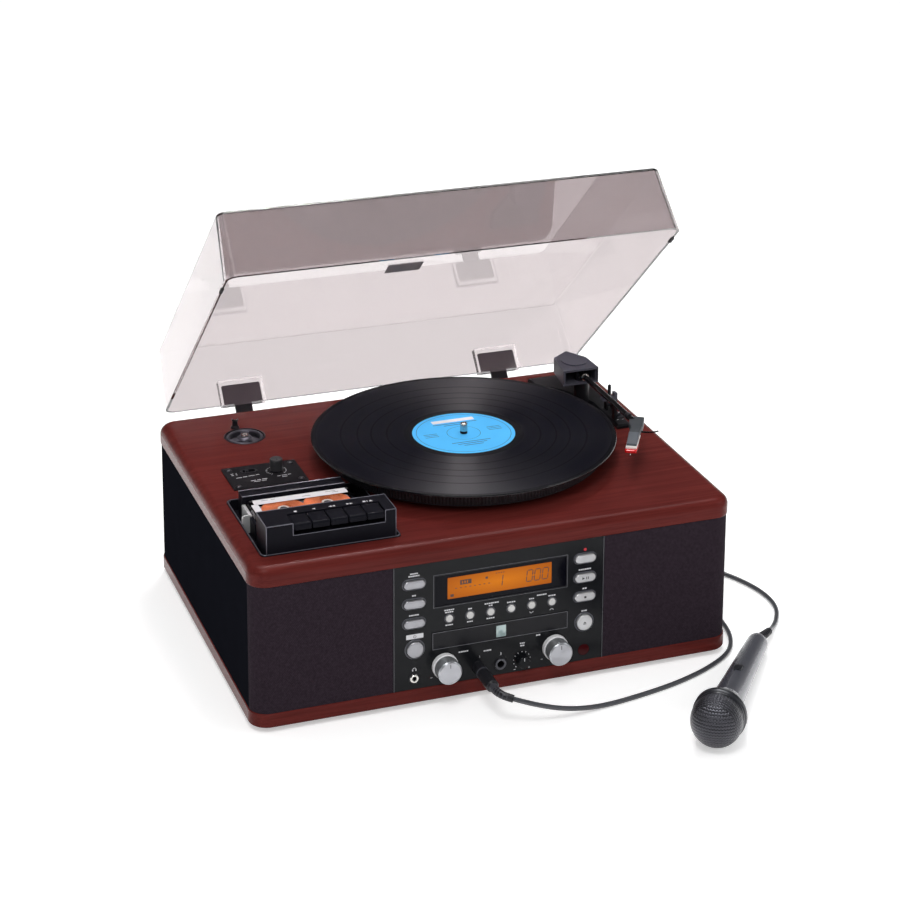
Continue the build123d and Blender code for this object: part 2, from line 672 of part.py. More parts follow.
with BuildPart() as arm_pivot:
    with BuildSketch(Plane.XY.offset(base_z)):
        with Locations((pivot_x, pivot_y)):
            Circle(arm_shaft_r)
    extrude(amount=cap_low + cap_wall + gap - base_z)
    with BuildSketch(Plane.XY.offset(cap_low + cap_wall + gap)):
        with Locations((pivot_x, pivot_y)):
            Circle(8.0)
    extrude(amount=1.0)
    for side in (-1, 1):
        with BuildSketch(Plane.YZ.offset(pivot_x + side * 5.0 - 0.9)):
            with Locations((pivot_y, (arm_z + cap_low + cap_wall + gap) / 2)):
                Rectangle(6.0, arm_z - cap_low - cap_wall - gap)
            with Locations((pivot_y, arm_z)):
                Circle(3.0)
                Circle(1.0 + press, mode=Mode.SUBTRACT)
        extrude(amount=1.8)
save(arm_pivot.part, "arm_pivot")

# the arm lies straight back to front, and the headshell turns in at its end
shell_angle = 26.0
shell_x, shell_y = pivot_x + 5.6, pivot_y - 129.2  # middle of the headshell's back edge
shell_plane = Plane(
    origin=(shell_x, shell_y, arm_z),
    x_dir=(-sin(radians(shell_angle)), -cos(radians(shell_angle)), 0),
    z_dir=(0, 0, 1),
)
shell_l, nose_l = 42.0, 17.0
shell_top, shell_low = 1.5, -5.0  # from the arm's axis
lift_dir = (11.5, -12.6, 2.0)
with BuildPart() as tonearm:
    with BuildSketch(Plane.XZ.offset(-(pivot_y + 5.0))):
        with Locations((pivot_x, arm_z)):
            Circle(arm_r)
    extrude(amount=pivot_y + 5.0 - shell_y + 6.0)
    with BuildSketch(Plane.YZ.offset(pivot_x - 6.4)):
        with Locations((pivot_y, arm_z)):
            Circle(1.0)
    extrude(amount=12.8)
    with BuildSketch(Plane(shell_plane.location).offset(shell_low)):
        with BuildLine():
            Polyline((0, -6), (shell_l, -4.8), (shell_l, 4.8), (0, 6), close=True)
        make_face()
    extrude(amount=shell_top - shell_low)
    # the nose slopes down over the cartridge
    with BuildSketch(Plane(origin=shell_plane.origin, x_dir=shell_plane.x_dir, z_dir=shell_plane.y_dir).offset(-4.8)):
        with BuildLine():
            Polyline((shell_l, -shell_top), (shell_l + nose_l, 2.6), (shell_l + nose_l, 5.0), (shell_l, 5.0), close=True)
        make_face()
    extrude(amount=9.6)
    # cartridge body and stylus holder, with the stylus under its tip
    with BuildSketch(shell_plane.offset(shell_low - 3.0)):
        with Locations((shell_l + 3.0, 0)):
            Rectangle(26.0, 10.0)
    extrude(amount=3.0)
    with BuildSketch(shell_plane.offset(stylus_z + 2.2 - arm_z)):
        with Locations((shell_l + 18.0, 0)):
            Rectangle(22.0, 11.0)
    extrude(amount=arm_z + shell_low - stylus_z - 2.2)
    with BuildSketch(shell_plane.offset(stylus_z - arm_z)):
        with Locations((shell_l + 27.0, 0)):
            Circle(0.6)
    extrude(amount=2.2)
    # finger lift
    with BuildSketch(Plane(origin=(shell_x - 9.8, shell_y - 27.6, arm_z - 2.5), x_dir=(0, 0, 1), z_dir=lift_dir)):
        Circle(0.9)
    extrude(amount=18.0)
save(tonearm.part, "tonearm")

cue_top = record_z + 10.0
with BuildPart() as cue_lever:
    with BuildSketch(Plane.YZ.offset(cue_x - 4.1)):
        with Locations((cue_y, cue_z)):
            Circle(1.2)
    extrude(amount=8.2)
    with BuildSketch(Plane.YZ.offset(cue_x - 2.4)):
        with Locations((cue_y, cue_z)):
            Circle(3.0)
    extrude(amount=4.8)
    with BuildSketch(Plane.XY.offset(cue_z)):
        with Locations((cue_x, cue_y)):
            Circle(1.75)
    extrude(amount=cue_top - cue_z)
    fillet(cue_lever.faces().sort_by(Axis.Z)[-1].edges(), 1.5)
save(cue_lever.part, "cue_lever")

with BuildPart() as speed_switch:
    with BuildSketch(Plane.XY.offset(base_z - 2.0)):
        with Locations((speed_x, speed_y)):
            Circle(5.5 - fit)
    extrude(amount=2.6)
    with BuildSketch(Plane.XY.offset(base_z + 0.6)):
        with Locations((speed_x, speed_y)):
            SlotOverall(9.6, 2.6, rotation=40)
    extrude(amount=2.6)
save(speed_switch.part, "speed_switch")

# ---------------------------------------------------------------- the deck's small fittings
with BuildPart() as adapter_45:
    with BuildSketch(Plane.XY.offset(top_z - adapter_deep)):
        with Locations((adapter_x, adapter_y)):
            Circle(19.0)
            Circle(spindle_r + press, mode=Mode.SUBTRACT)
    extrude(amount=adapter_deep + 1.2)
    with BuildSketch(Plane.XY.offset(top_z - 0.6)):
        with Locations((adapter_x, adapter_y)):
            Circle(14.0)
            Circle(8.0, mode=Mode.SUBTRACT)
    extrude(amount=1.8, mode=Mode.SUBTRACT)
    chamfer(adapter_45.faces().sort_by(Axis.Z)[-1].edges(), 0.4)
save(adapter_45.part, "adapter_45")

plate_t = 1.2
plate_x, plate_y = (plate_x0 + plate_x1) / 2, (plate_y0 + plate_y1) / 2
pitch_x, pitch_y, pitch_r, pitch_top = plate_x0 + 50.0, plate_y0 + 31.6, 6.2, top_z + 13.7
switch_x, switch_y = plate_x0 + 24.4, plate_y0 + 38.4
switch_l, switch_w, switch_travel = 13.0, 6.0, 4.0
screw_in = 6.0
screw_at = [(x, y) for x in (plate_x0 + screw_in, plate_x1 - screw_in)
            for y in (plate_y0 + screw_in, plate_y1 - screw_in)]
with BuildPart() as control_plate:
    with BuildSketch(Plane.XY.offset(top_z)):
        with Locations((plate_x, plate_y)):
            RectangleRounded(plate_x1 - plate_x0, plate_y1 - plate_y0, 2.0)
        with Locations((pitch_x, pitch_y)):
            Circle(shaft_r + press, mode=Mode.SUBTRACT)
        with Locations((switch_x, switch_y)):
            SlotOverall(switch_l, switch_w, mode=Mode.SUBTRACT)
    extrude(amount=plate_t)
    # box of the slide switch under the plate
    with BuildSketch(Plane.XY.offset(top_z - 6.0)):
        with Locations((switch_x, switch_y)):
            Rectangle(16.0, 9.0)
            SlotOverall(switch_l, switch_w, mode=Mode.SUBTRACT)
    extrude(amount=6.0)
    with BuildSketch(Plane.XY.offset(top_z - 7.0)):
        with Locations((switch_x, switch_y)):
            Rectangle(16.0, 9.0)
    extrude(amount=1.0)
    # sleeve of the pitch control
    with BuildSketch(Plane.XY.offset(top_z - 10.0)):
        with Locations((pitch_x, pitch_y)):
            Circle(8.0)
            Circle(shaft_r + press, mode=Mode.SUBTRACT)
    extrude(amount=10.0)
    with BuildSketch(Plane.XY.offset(top_z + plate_t)):
        with Locations(*screw_at):
            Circle(2.8)
    extrude(amount=1.0, taper=30)
save(control_plate.part, "control_plate")

with BuildPart() as pitch_knob:
    with BuildSketch(Plane.XY.offset(top_z + plate_t + gap)):
        with Locations((pitch_x, pitch_y)):
            Circle(pitch_r)
    extrude(amount=pitch_top - top_z - plate_t - gap)
    chamfer(pitch_knob.faces().sort_by(Axis.Z)[-1].edges(), 0.6)
    with BuildSketch(Plane.XY.offset(pitch_top - 0.6)):
        with Locations((pitch_x, pitch_y - pitch_r * 0.6)):
            Rectangle(1.0, pitch_r * 0.7)
    extrude(amount=0.6, mode=Mode.SUBTRACT)
    with BuildSketch(Plane.XY.offset(top_z - 8.0)):
        with Locations((pitch_x, pitch_y)):
            Circle(shaft_r)
    extrude(amount=8.0 + plate_t + gap)
save(pitch_knob.part, "pitch_knob")

with BuildPart() as select_switch:
    with BuildSketch(Plane.XY.offset(top_z - 6.0)):
        with Locations((switch_x - switch_travel / 2, switch_y)):
            SlotOverall(switch_l - switch_travel - 2 * fit, switch_w - 2 * fit)
    extrude(amount=5.0)
    with BuildSketch(Plane.XY.offset(top_z - 1.0)):
        with Locations((switch_x - switch_travel / 2, switch_y)):
            Rectangle(3.0, 3.6)
    extrude(amount=3.2)
save(select_switch.part, "select_switch")

# ---------------------------------------------------------------- cassette recorder
deck_floor = top_z - 9.3
cassette_x, cassette_y = well_x0 + 63.4, well_y0 + 69.2
cassette_w, cassette_d = 100.4, 63.8
cassette_t, cassette_thick = 8.7, 12.1
platform_z = top_z - 0.5
slab_z = platform_z + fit + (cassette_thick - cassette_t) / 2
hub_half, hub_y = 21.25, cassette_y + 2.9
hub_hole = 5.6
reel_spindle_r = 3.0
key_x0, key_y0 = well_x0 + 5.5, well_y0 + 2.5
key_x1, key_y1 = key_x0 + 122.0, key_y0 + 34.0
key_block_top = top_z + 27.2
key_pitch, key_w = 17.2, 16.5
key_first = key_x0 + 34.1
key_n = 5
key_back, key_front = key_y1 - 13.5, key_y0 - 1.0
key_high = key_block_top - 0.5
key_low = key_high - 6.0
key_axis_z = key_high - 4.0
key_rod = 2.5  # from the keys' back edge to their rod
pocket_floor = key_low - 5.0
bar_y0, bar_y1, bar_top = well_y1 - 25.0, well_y1 - 11.0, top_z + 13.2
bar_w, bar_x = 100.0, well_x0 + 60.0
bracket_x, bracket_y, bracket_l, bracket_top = well_x0 + 10.4, well_y1 - 51.5, 45.0, top_z + 6.7
with BuildPart() as deck_frame:
    with BuildSketch(Plane.XY.offset(deck_floor - 8.0)):
        with Locations(((well_x0 + well_x1) / 2, (well_y0 + well_y1) / 2)):
            RectangleRounded(well_x1 - well_x0 - 2 * fit, well_y1 - well_y0 - 2 * fit, 5.0 - fit)
    extrude(amount=8.0)
    with BuildSketch(Plane.XY.offset(deck_floor)):
        with Locations(((well_x0 + well_x1) / 2, (well_y0 + well_y1) / 2)):
            RectangleRounded(well_x1 - well_x0 - 2 * fit, well_y1 - well_y0 - 2 * fit, 5.0 - fit)
            RectangleRounded(well_x1 - well_x0 - 4.0, well_y1 - well_y0 - 4.0, 3.0, mode=Mode.SUBTRACT)
    extrude(amount=top_z + 0.8 - deck_floor)
    # platform that the cassette lies on
    with BuildSketch(Plane.XY.offset(deck_floor)):
        with Locations((cassette_x, cassette_y)):
            Rectangle(cassette_w + 4.0, cassette_d + 1.0)
    extrude(amount=platform_z - deck_floor)
    with BuildSketch(Plane.XY.offset(platform_z)):
        with Locations((cassette_x, (hub_y + cassette_y + cassette_d / 2) / 2)):
            Rectangle(cassette_w - 20.0, cassette_y + cassette_d / 2 - hub_y)
    extrude(amount=slab_z - fit - platform_z)
    with BuildSketch(Plane.XY.offset(platform_z)):
        with Locations((cassette_x - hub_half, hub_y), (cassette_x + hub_half, hub_y)):
            Circle(reel_spindle_r)
    extrude(amount=8.6)
    # tape head, in the mouth of the cassette
    with BuildSketch(Plane.XY.offset(deck_floor)):
        with Locations((cassette_x, cassette_y - cassette_d / 2 + 1.0)):
            Rectangle(12.0, 5.0)
    extrude(amount=platform_z + 9.0 - deck_floor)
    # bar behind the cassette, bracket on its left
    with BuildSketch(Plane.XY.offset(deck_floor)):
        with Locations((bar_x, (bar_y0 + bar_y1) / 2)):
            Rectangle(bar_w, bar_y1 - bar_y0)
    extrude(amount=bar_top - deck_floor)
    with BuildSketch(Plane.XY.offset(deck_floor)):
        with Locations((bracket_x, bracket_y)):
            Rectangle(3.0, bracket_l)
    extrude(amount=bracket_top - deck_floor)
    # block that holds the keys, open above them and to the front
    with BuildSketch(Plane.XY.offset(deck_floor)):
        with Locations(((key_x0 + key_x1) / 2, (key_y0 + key_y1) / 2)):
            Rectangle(key_x1 - key_x0, key_y1 - key_y0)
    extrude(amount=key_block_top - deck_floor)
    key_mid = key_first + key_pitch * (key_n - 1) / 2
    with BuildSketch(Plane.XY.offset(pocket_floor)):
        with Locations((key_mid, (key_back + 0.9 + key_front - 5.0) / 2)):
            Rectangle(key_pitch * key_n + 1.0, key_back + 0.9 - key_front + 5.0)
    extrude(amount=key_block_top - pocket_floor, mode=Mode.SUBTRACT)
    # pivot rod of the keys
    with BuildSketch(Plane.YZ.offset(key_mid - key_pitch * key_n / 2 - 2.0)):
        with Locations((key_back - key_rod, key_axis_z)):
            Circle(1.0)
    extrude(amount=key_pitch * key_n + 4.0)
save(deck_frame.part, "deck_frame")

key_names = ("record", "play", "rewind", "fast_forward", "stop_eject")
for i, name in enumerate(key_names):
    with BuildPart() as key:
        with BuildSketch(Plane.YZ.offset(key_first + i * key_pitch - key_w / 2)):
            with BuildLine():
                Polyline((key_back, key_low), (key_back, key_high), (key_front + 1.2, key_high),
                         (key_front, key_high - 1.2), (key_front, key_low), close=True)
            make_face()
            with Locations((key_back - key_rod, key_axis_z)):
                Circle(1.0 + press, mode=Mode.SUBTRACT)
        extrude(amount=key_w)
    save(key.part, f"tape_{name}_key")

with BuildPart() as cassette:
    with BuildSketch(Plane.XY.offset(slab_z)):
        with Locations((cassette_x, cassette_y)):
            RectangleRounded(cassette_w, cassette_d, 2.0)
    extrude(amount=cassette_t)
    with BuildSketch(Plane.XY.offset(platform_z + fit)):
        with BuildLine():
            Polyline((cassette_x - 35.0, cassette_y - cassette_d / 2), (cassette_x - 31.0, cassette_y - 16.0),
                     (cassette_x + 31.0, cassette_y - 16.0), (cassette_x + 35.0, cassette_y - cassette_d / 2),
                     close=True)
        make_face()
    extrude(amount=cassette_thick)
    with BuildSketch(Plane.XY.offset(platform_z + fit)):
        with Locations((cassette_x, cassette_y - cassette_d / 2)):
            Rectangle(14.0, 8.0)
    extrude(amount=10.0, mode=Mode.SUBTRACT)
    with BuildSketch(Plane.XY.offset(slab_z)):
        with Locations((cassette_x - hub_half, hub_y), (cassette_x + hub_half, hub_y)):
            Circle(hub_hole)
    extrude(amount=cassette_t, mode=Mode.SUBTRACT)
    # toothed hubs of the two reels
    with BuildSketch(Plane.XY.offset(slab_z + 0.5)):
        with Locations((cassette_x - hub_half, hub_y), (cassette_x + hub_half, hub_y)):
            Circle(hub_hole - fit)
            Circle(reel_spindle_r + 1.2, mode=Mode.SUBTRACT)
    extrude(amount=cassette_t - 1.0)
save(cassette.part, "cassette")

# ---------------------------------------------------------------- dust cover and its hinges
lid_open = 41.18  # degrees up from closed
hinge_y, hinge_z = half_d + 4.77, under_z + 3.25
hinge_in = 95.0  # from the board's end
hinge_x = half_w - hinge_in
lid_w, lid_l, lid_h = case_w - 20.6, case_d - 9.1, 67.2
lid_wall = 3.0
lid_draft = 3.75
lid_back = -6.3  # outer face of the closed cover's back wall, from the hinge axis
lid_rim = 17.05  # the closed cover's rim above the hinge axis
lid_corner = 12.0
pocket_w, pocket_h, pocket_back = 47.0, 27.0, 0.2
tongue_w, tongue_t, tongue_h = 39.0, 2.2, 22.0
tongue_y = -2.8
knuckle_w, knuckle_r, pin_r = 18.0, 4.4, 2.5
lid_plane = Plane(
    origin=(0, hinge_y, hinge_z),
    x_dir=(1, 0, 0),
    z_dir=(0, sin(radians(lid_open)), cos(radians(lid_open))),
)
lid_mid = lid_back - lid_l / 2
with BuildPart() as lid:
    with BuildSketch(lid_plane.offset(lid_rim)):
        with Locations((0, lid_mid)):
            RectangleRounded(lid_w, lid_l, lid_corner)
    extrude(amount=lid_h, taper=lid_draft)
    fillet(lid.faces().sort_by(Axis(lid_plane.origin, lid_plane.z_dir))[-1].edges(), 3.5)
    # moulded pockets for the hinge tongues
    with BuildSketch(lid_plane.offset(lid_rim)):
        with Locations((-hinge_x, (pocket_back + lid_back - 6.0) / 2), (hinge_x, (pocket_back + lid_back - 6.0) / 2)):
            Rectangle(pocket_w, pocket_back - lid_back + 6.0)
    extrude(amount=pocket_h)
    with BuildSketch(lid_plane.offset(lid_rim)):
        with Locations((0, lid_mid)):
            RectangleRounded(lid_w - 2 * lid_wall, lid_l - 2 * lid_wall, lid_corner - lid_wall)
    extrude(amount=lid_h - lid_wall, taper=lid_draft, mode=Mode.SUBTRACT)
    with BuildSketch(lid_plane.offset(lid_rim)):
        with Locations((-hinge_x, tongue_y), (hinge_x, tongue_y)):
            Rectangle(tongue_w + 2 * fit, tongue_t + 2 * fit)
    extrude(amount=tongue_h + fit, mode=Mode.SUBTRACT)
    # bumpers under the front corners of the rim
    with BuildSketch(lid_plane.offset(lid_rim - 1.3)):
        bumper_x = lid_w / 2 - lid_wall / 2
        with Locations((-bumper_x, lid_back - lid_l + 30.0), (bumper_x, lid_back - lid_l + 30.0)):
            Rectangle(lid_wall - 0.4, 10.0)
    extrude(amount=1.3)
save(lid.part, "lid")

with BuildPart() as hinge_leaves:
    for side in (-1, 1):
        with BuildSketch(lid_plane.offset(lid_rim)):
            with Locations((side * hinge_x, tongue_y)):
                Rectangle(tongue_w, tongue_t)
        extrude(amount=tongue_h)
        with BuildSketch(lid_plane):
            with Locations((side * hinge_x, tongue_y)):
                Rectangle(knuckle_w, tongue_t)
        extrude(amount=lid_rim)
        with BuildSketch(Plane.YZ.offset(side * hinge_x - knuckle_w / 2)):
            with Locations((hinge_y, hinge_z)):
                Circle(knuckle_r)
        extrude(amount=knuckle_w)
        with BuildSketch(Plane.YZ.offset(side * hinge_x - knuckle_w / 2)):
            with Locations((hinge_y, hinge_z)):
                Circle(pin_r + press)
        extrude(amount=knuckle_w, mode=Mode.SUBTRACT)
save(hinge_leaves.part, "hinge_leaves")

ear_t, ear_plate_h = 4.0, 20.0
ear_low = under_z - 21.5
ear_r = hinge_y - half_d - gap
with BuildPart() as hinge_brackets:
    for side in (-1, 1):
        # plate on the rear panel
        with BuildSketch(Plane.XZ.offset(-body_y)):
            with Locations((side * hinge_x, ear_low + ear_plate_h / 2)):
                Rectangle(knuckle_w + 2 * ear_t + 2.0, ear_plate_h)
        extrude(amount=-2.0)
        for edge in (-1, 1):
            ear_x = side * hinge_x + edge * (knuckle_w / 2 + 1.0 + ear_t / 2)
            with BuildSketch(Plane.YZ.offset(ear_x - ear_t / 2)):
                with BuildLine():
                    Polyline((body_y, ear_low), (body_y, under_z - 4.0),
                             (hinge_y - ear_r, under_z - 1.0), (hinge_y - ear_r, hinge_z),
                             (hinge_y + ear_r, hinge_z), (hinge_y + ear_r, under_z - 6.0), close=True)
                make_face()
                with Locations((hinge_y, hinge_z)):
                    Circle(ear_r)
            extrude(amount=ear_t)
        with BuildSketch(Plane.YZ.offset(side * hinge_x - knuckle_w / 2 - 1.0 - ear_t)):
            with Locations((hinge_y, hinge_z)):
                Circle(pin_r)
        extrude(amount=knuckle_w + 2.0 + 2 * ear_t)
save(hinge_brackets.part, "hinge_brackets")

# ---------------------------------------------------------------- hand microphone, lying on the floor
ball_r, collar_r = 24.0, 24.8
collar_s, collar_w = 10.5, 6.5  # from the ball's centre along the axis, to the collar
head = Vector(148.1, -338.1, 25.8)  # centre of the mesh ball
tail = Vector(263.2, -190.9, 10.6)  # middle of the body's end
body_front_r, body_end_r = 13.6, 10.2
mic_l = (tail - head).length
mic_axis = (tail - head) * (1 / mic_l)
mic_plane = Plane(origin=head, x_dir=mic_axis, z_dir=(mic_axis.Y, -mic_axis.X, 0))
boot_joint = head + mic_axis * (mic_l + 9.0)
boot_end = Vector(285.5, -170.5, 8.5)
cord_r = 2.3
with BuildPart() as microphone:
    with BuildSketch(mic_plane):
        with BuildLine():
            Polyline((0, 0), (-ball_r, 0))
            ThreePointArc((-ball_r, 0), (-ball_r * cos(pi / 4), ball_r * sin(pi / 4)), (0, ball_r))
            Polyline((0, ball_r), (collar_s - 3.0, ball_r - 1.0), (collar_s - 1.0, ball_r - 1.0),
                     (collar_s, collar_r - 0.8), (collar_s + 1.0, collar_r),
                     (collar_s + collar_w - 1.0, collar_r), (collar_s + collar_w, collar_r - 1.0),
                     (collar_s + collar_w + 2.0, collar_r - 2.5), (38.0, body_front_r + 1.6),
                     (46.0, body_front_r), (mic_l - 3.0, body_end_r), (mic_l, body_end_r - 3.0),
                     (mic_l, 5.6), (mic_l + 9.0, 5.2), (mic_l + 9.0, 0), (0, 0))
        make_face()
    revolve(axis=Axis(head, mic_axis))
    # the boot bends a little where the cord leaves it
    with BuildSketch(Plane(origin=boot_joint, z_dir=boot_end - boot_joint)):
        Circle(4.9)
    extrude(amount=(boot_end - boot_joint).length, taper=degrees(atan2(1.4, (boot_end - boot_joint).length)))
    with BuildSketch(Plane(origin=boot_joint - mic_axis * 3.0, z_dir=mic_axis)):
        Circle(4.0)
    extrude(amount=4.0)
    # flat bed and slot of the switch
    mic_top = mic_plane.y_dir if mic_plane.y_dir.Z > 0 else -mic_plane.y_dir
    switch_s, slide_l, slide_w, slide_travel = 88.0, 9.0, 8.0, 5.0
    bed = Plane(origin=head + mic_axis * switch_s + mic_top * 11.0, x_dir=mic_axis, z_dir=mic_top)
    with BuildSketch(bed):
        RectangleRounded(slide_l + slide_travel + 2 * gap, slide_w + 2 * gap, 1.5)
    extrude(amount=6.0, mode=Mode.SUBTRACT)
save(microphone.part, "microphone")

with BuildPart() as mic_switch:
    with BuildSketch(bed):
        with Locations((slide_travel / 2, 0)):
            RectangleRounded(slide_l, slide_w, 1.5)
    extrude(amount=3.0)
    for rib in (-1, 0, 1):
        with BuildSketch(bed.offset(3.0)):
            with Locations((slide_travel / 2 + rib * 2.6, 0)):
                Rectangle(1.2, slide_w - 1.0)
        extrude(amount=0.7)
save(mic_switch.part, "mic_switch")

# ---------------------------------------------------------------- microphone plug and cord
cord_limit = 5 * 2 * cord_r  # the tightest bend of the cord


def arc_radii(points, label, least):
    """Return the largest arcs that the runs allow, one for each inner point, and print them."""
    radii = []
    for before, here, after in zip(points, points[1:], points[2:]):
        arriving, leaving = Vector(*here) - Vector(*before), Vector(*after) - Vector(*here)
        half_turn = radians(arriving.get_angle(leaving)) / 2
        radii.append(0.45 * min(arriving.length, leaving.length) / tan(half_turn))
    print(label, "least radius", round(min(radii), 1), "of", least, [round(r) for r in radii])
    return radii


def tube(points, label, least):
    """Sweep a round section along straight runs joined by arcs."""
    with BuildPart() as cord:
        with BuildLine() as route:
            FilletPolyline(*points, radius=arc_radii(points, label, least))
        path = route.wire()
        with BuildSketch(Plane(origin=path @ 0, z_dir=path % 0)):
            Circle(cord_r)
        sweep(path=path)
    share = cord.part.volume / (pi * cord_r**2 * path.length)
    print(label, "length", round(path.length), "volume share", round(share, 4))
    save(cord.part, label)
    return path


plug_x, plug_z = jack_at[0]
plug_shaft_r, plug_tip_r = 3.15, 3.15
plug_body_r, plug_body_l = 6.0, 38.0
plug_face = front_y - 1.2 - gap  # the plug's body stops here
plug_back = plug_face - plug_body_l
relief_points = [(plug_x, plug_back, plug_z), (plug_x, plug_back - 8.0, plug_z - 0.2), (-17.5, -238.0, 29.0),
                 (-9.0, -242.4, 26.4)]
with BuildPart() as mic_plug:
    with BuildSketch(Plane.XZ.offset(-plug_face)):
        with Locations((plug_x, plug_z)):
            Circle(plug_body_r)
    extrude(amount=plug_body_l)
    chamfer(mic_plug.faces().sort_by(Axis.Y)[0].edges(), 1.5)
    with BuildSketch(Plane.XZ.offset(-plug_face)):
        with Locations((plug_x, plug_z)):
            Circle(plug_shaft_r)
    extrude(amount=-(jack_deep - 4.0))
    with BuildLine() as relief_line:
        FilletPolyline(*relief_points, radius=arc_radii(relief_points, "plug relief", 2 * cord_r))
    with BuildSketch(Plane(origin=relief_line.line @ 0, z_dir=relief_line.line % 0)):
        Circle(3.6)
    sweep(path=relief_line.line)
save(mic_plug.part, "mic_plug")

coil_x, coil_y = 290.0, 78.0
coil_mid_r = 6 * 2 * cord_r
coil_wide, coil_high = 3, 4  # turns beside each other, and layers
coil_turns = coil_wide * coil_high - 0.5
coil_out_r = coil_mid_r + (coil_wide - 1) * cord_r
floor_z = cord_r + 0.05
to_coil = [
    relief_points[-1],
    (9.5, -249.4, 20.6),
    (43.0, -247.6, 9.0),
    (80.0, -241.6, floor_z),
    (127.0, -233.4, floor_z),
    (167.0, -223.0, floor_z),
    (204.5, -207.2, floor_z),
    (236.5, -185.8, floor_z),
    (252.6, -155.0, floor_z),
    (257.6, -118.0, floor_z),
    (259.4, -72.0, floor_z),
    (258.6, -22.0, floor_z),
    (257.4, 28.0, floor_z),
    (coil_x - coil_out_r, coil_y, floor_z),
]
from_coil = [
    (coil_x + coil_out_r, coil_y, floor_z + (coil_high - 1) * 2 * cord_r),
    (coil_x + coil_out_r - 0.6, coil_y - 34.0, 12.0),
    (312.6, 8.0, floor_z),
    (299.0, -21.5, floor_z),
    (313.6, -48.0, floor_z),
    (323.8, -82.0, floor_z),
    (322.4, -116.0, floor_z),
    (307.6, -143.6, floor_z),
    (293.0, -160.8, 4.6),
    tuple(boot_end),
]
with BuildPart() as cord_coil:
    with BuildSketch(Plane.XY.offset(0.05)):
        with Locations((coil_x, coil_y)):
            Circle(coil_mid_r + coil_wide * cord_r)
            Circle(coil_mid_r - coil_wide * cord_r, mode=Mode.SUBTRACT)
    extrude(amount=coil_high * 2 * cord_r)
save(cord_coil.part, "cord_coil")

route_in = tube(to_coil, "cord_to_coil", cord_limit)
route_out = tube(from_coil, "cord_to_mic", cord_limit)
coil_l = coil_turns * 2 * pi * coil_mid_r
print("whole cord", round(route_in.length + coil_l + route_out.length), "coil", round(coil_l))
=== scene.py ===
import bmesh
import bpy
import numpy as np
from mathutils import Matrix, Vector


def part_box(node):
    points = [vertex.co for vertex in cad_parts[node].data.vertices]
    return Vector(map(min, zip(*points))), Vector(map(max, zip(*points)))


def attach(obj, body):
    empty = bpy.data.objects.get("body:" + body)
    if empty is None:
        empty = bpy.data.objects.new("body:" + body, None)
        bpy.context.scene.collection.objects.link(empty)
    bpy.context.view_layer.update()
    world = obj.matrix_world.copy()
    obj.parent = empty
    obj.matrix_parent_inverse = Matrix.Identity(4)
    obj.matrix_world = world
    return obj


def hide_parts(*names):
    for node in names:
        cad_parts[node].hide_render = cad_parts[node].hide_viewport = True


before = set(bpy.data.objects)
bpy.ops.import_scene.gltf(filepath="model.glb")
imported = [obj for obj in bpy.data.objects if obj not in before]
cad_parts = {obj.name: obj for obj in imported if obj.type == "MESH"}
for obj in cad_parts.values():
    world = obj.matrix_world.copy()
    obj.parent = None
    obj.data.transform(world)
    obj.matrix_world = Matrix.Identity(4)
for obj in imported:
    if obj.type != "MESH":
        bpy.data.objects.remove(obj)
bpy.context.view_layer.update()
scene = bpy.context.scene
scene.view_settings.view_transform = "Standard"

# ------------------------------------------------------------------ camera
# A level studio camera on a long lens, well to the left of the cabinet and above it, with its frame
# shifted down.
eye = Vector((-0.7388, -2.1051, 1.1218))
turn, dip, roll = np.radians((-20.15, 14.14, 0.34))
back = Vector((np.sin(turn) * np.cos(dip), -np.cos(turn) * np.cos(dip), np.sin(dip)))
right = Vector((np.cos(turn), np.sin(turn), 0))
up = back.cross(right)
side = right * np.cos(roll) + up * np.sin(roll)
top = up * np.cos(roll) - right * np.sin(roll)
lens = bpy.data.cameras.new("camera")
lens.sensor_width = 36.0
lens.lens = 97.52
lens.shift_x = -0.0214
lens.shift_y = -0.4277
lens.clip_end = 20.0
camera = bpy.data.objects.new("camera", lens)
scene.collection.objects.link(camera)
camera.matrix_world = Matrix.Translation(eye) @ Matrix((side, top, back)).transposed().to_4x4()
scene.camera = camera

# ------------------------------------------------------------------ floor, sky and lamps
# A seamless pale floor under an even sky that looks white, with soft lamps above the front left, on the
# right and above the rear. Polished pieces mirror a dim studio with one soft box overhead and one in
# front.
def shade(red, green, blue):
    """Linear colour of an 8-bit screen colour."""
    screen = np.array([red, green, blue]) / 255
    return (*np.where(screen < 0.04, screen / 12.92, ((screen + 0.055) / 1.055) ** 2.4), 1.0)


def node(tree, kind, values=None, **settings):
    """Add a shader node; values gives its inputs numbers, or the outputs that feed them."""
    made = tree.nodes.new("ShaderNode" + kind)
    for key, value in settings.items():
        setattr(made, key, value)
    for key, value in (values or {}).items():
        if isinstance(value, bpy.types.NodeSocket):
            tree.links.new(value, made.inputs[key])
        else:
            made.inputs[key].default_value = value
    return made


def math(tree, kind, *values):
    """Result of a sum or a function on numbers and outputs."""
    return node(tree, "Math", dict(enumerate(values)), operation=kind).outputs[0]


def vector_math(tree, kind, *values):
    """Result of a function on vectors: a number for a length or a dot product, otherwise a vector."""
    made = node(tree, "VectorMath", dict(enumerate(values)), operation=kind)
    return made.outputs["Value" if kind in ("LENGTH", "DOT_PRODUCT") else "Vector"]


def ranged(tree, value, given, wanted=(0.0, 1.0), kind="LINEAR"):
    """The value carried from the given range to the wanted one, and held at its ends."""
    return node(tree, "MapRange", {"Value": value, "From Min": given[0], "From Max": given[1],
                                   "To Min": wanted[0], "To Max": wanted[1]},
                interpolation_type=kind).outputs[0]


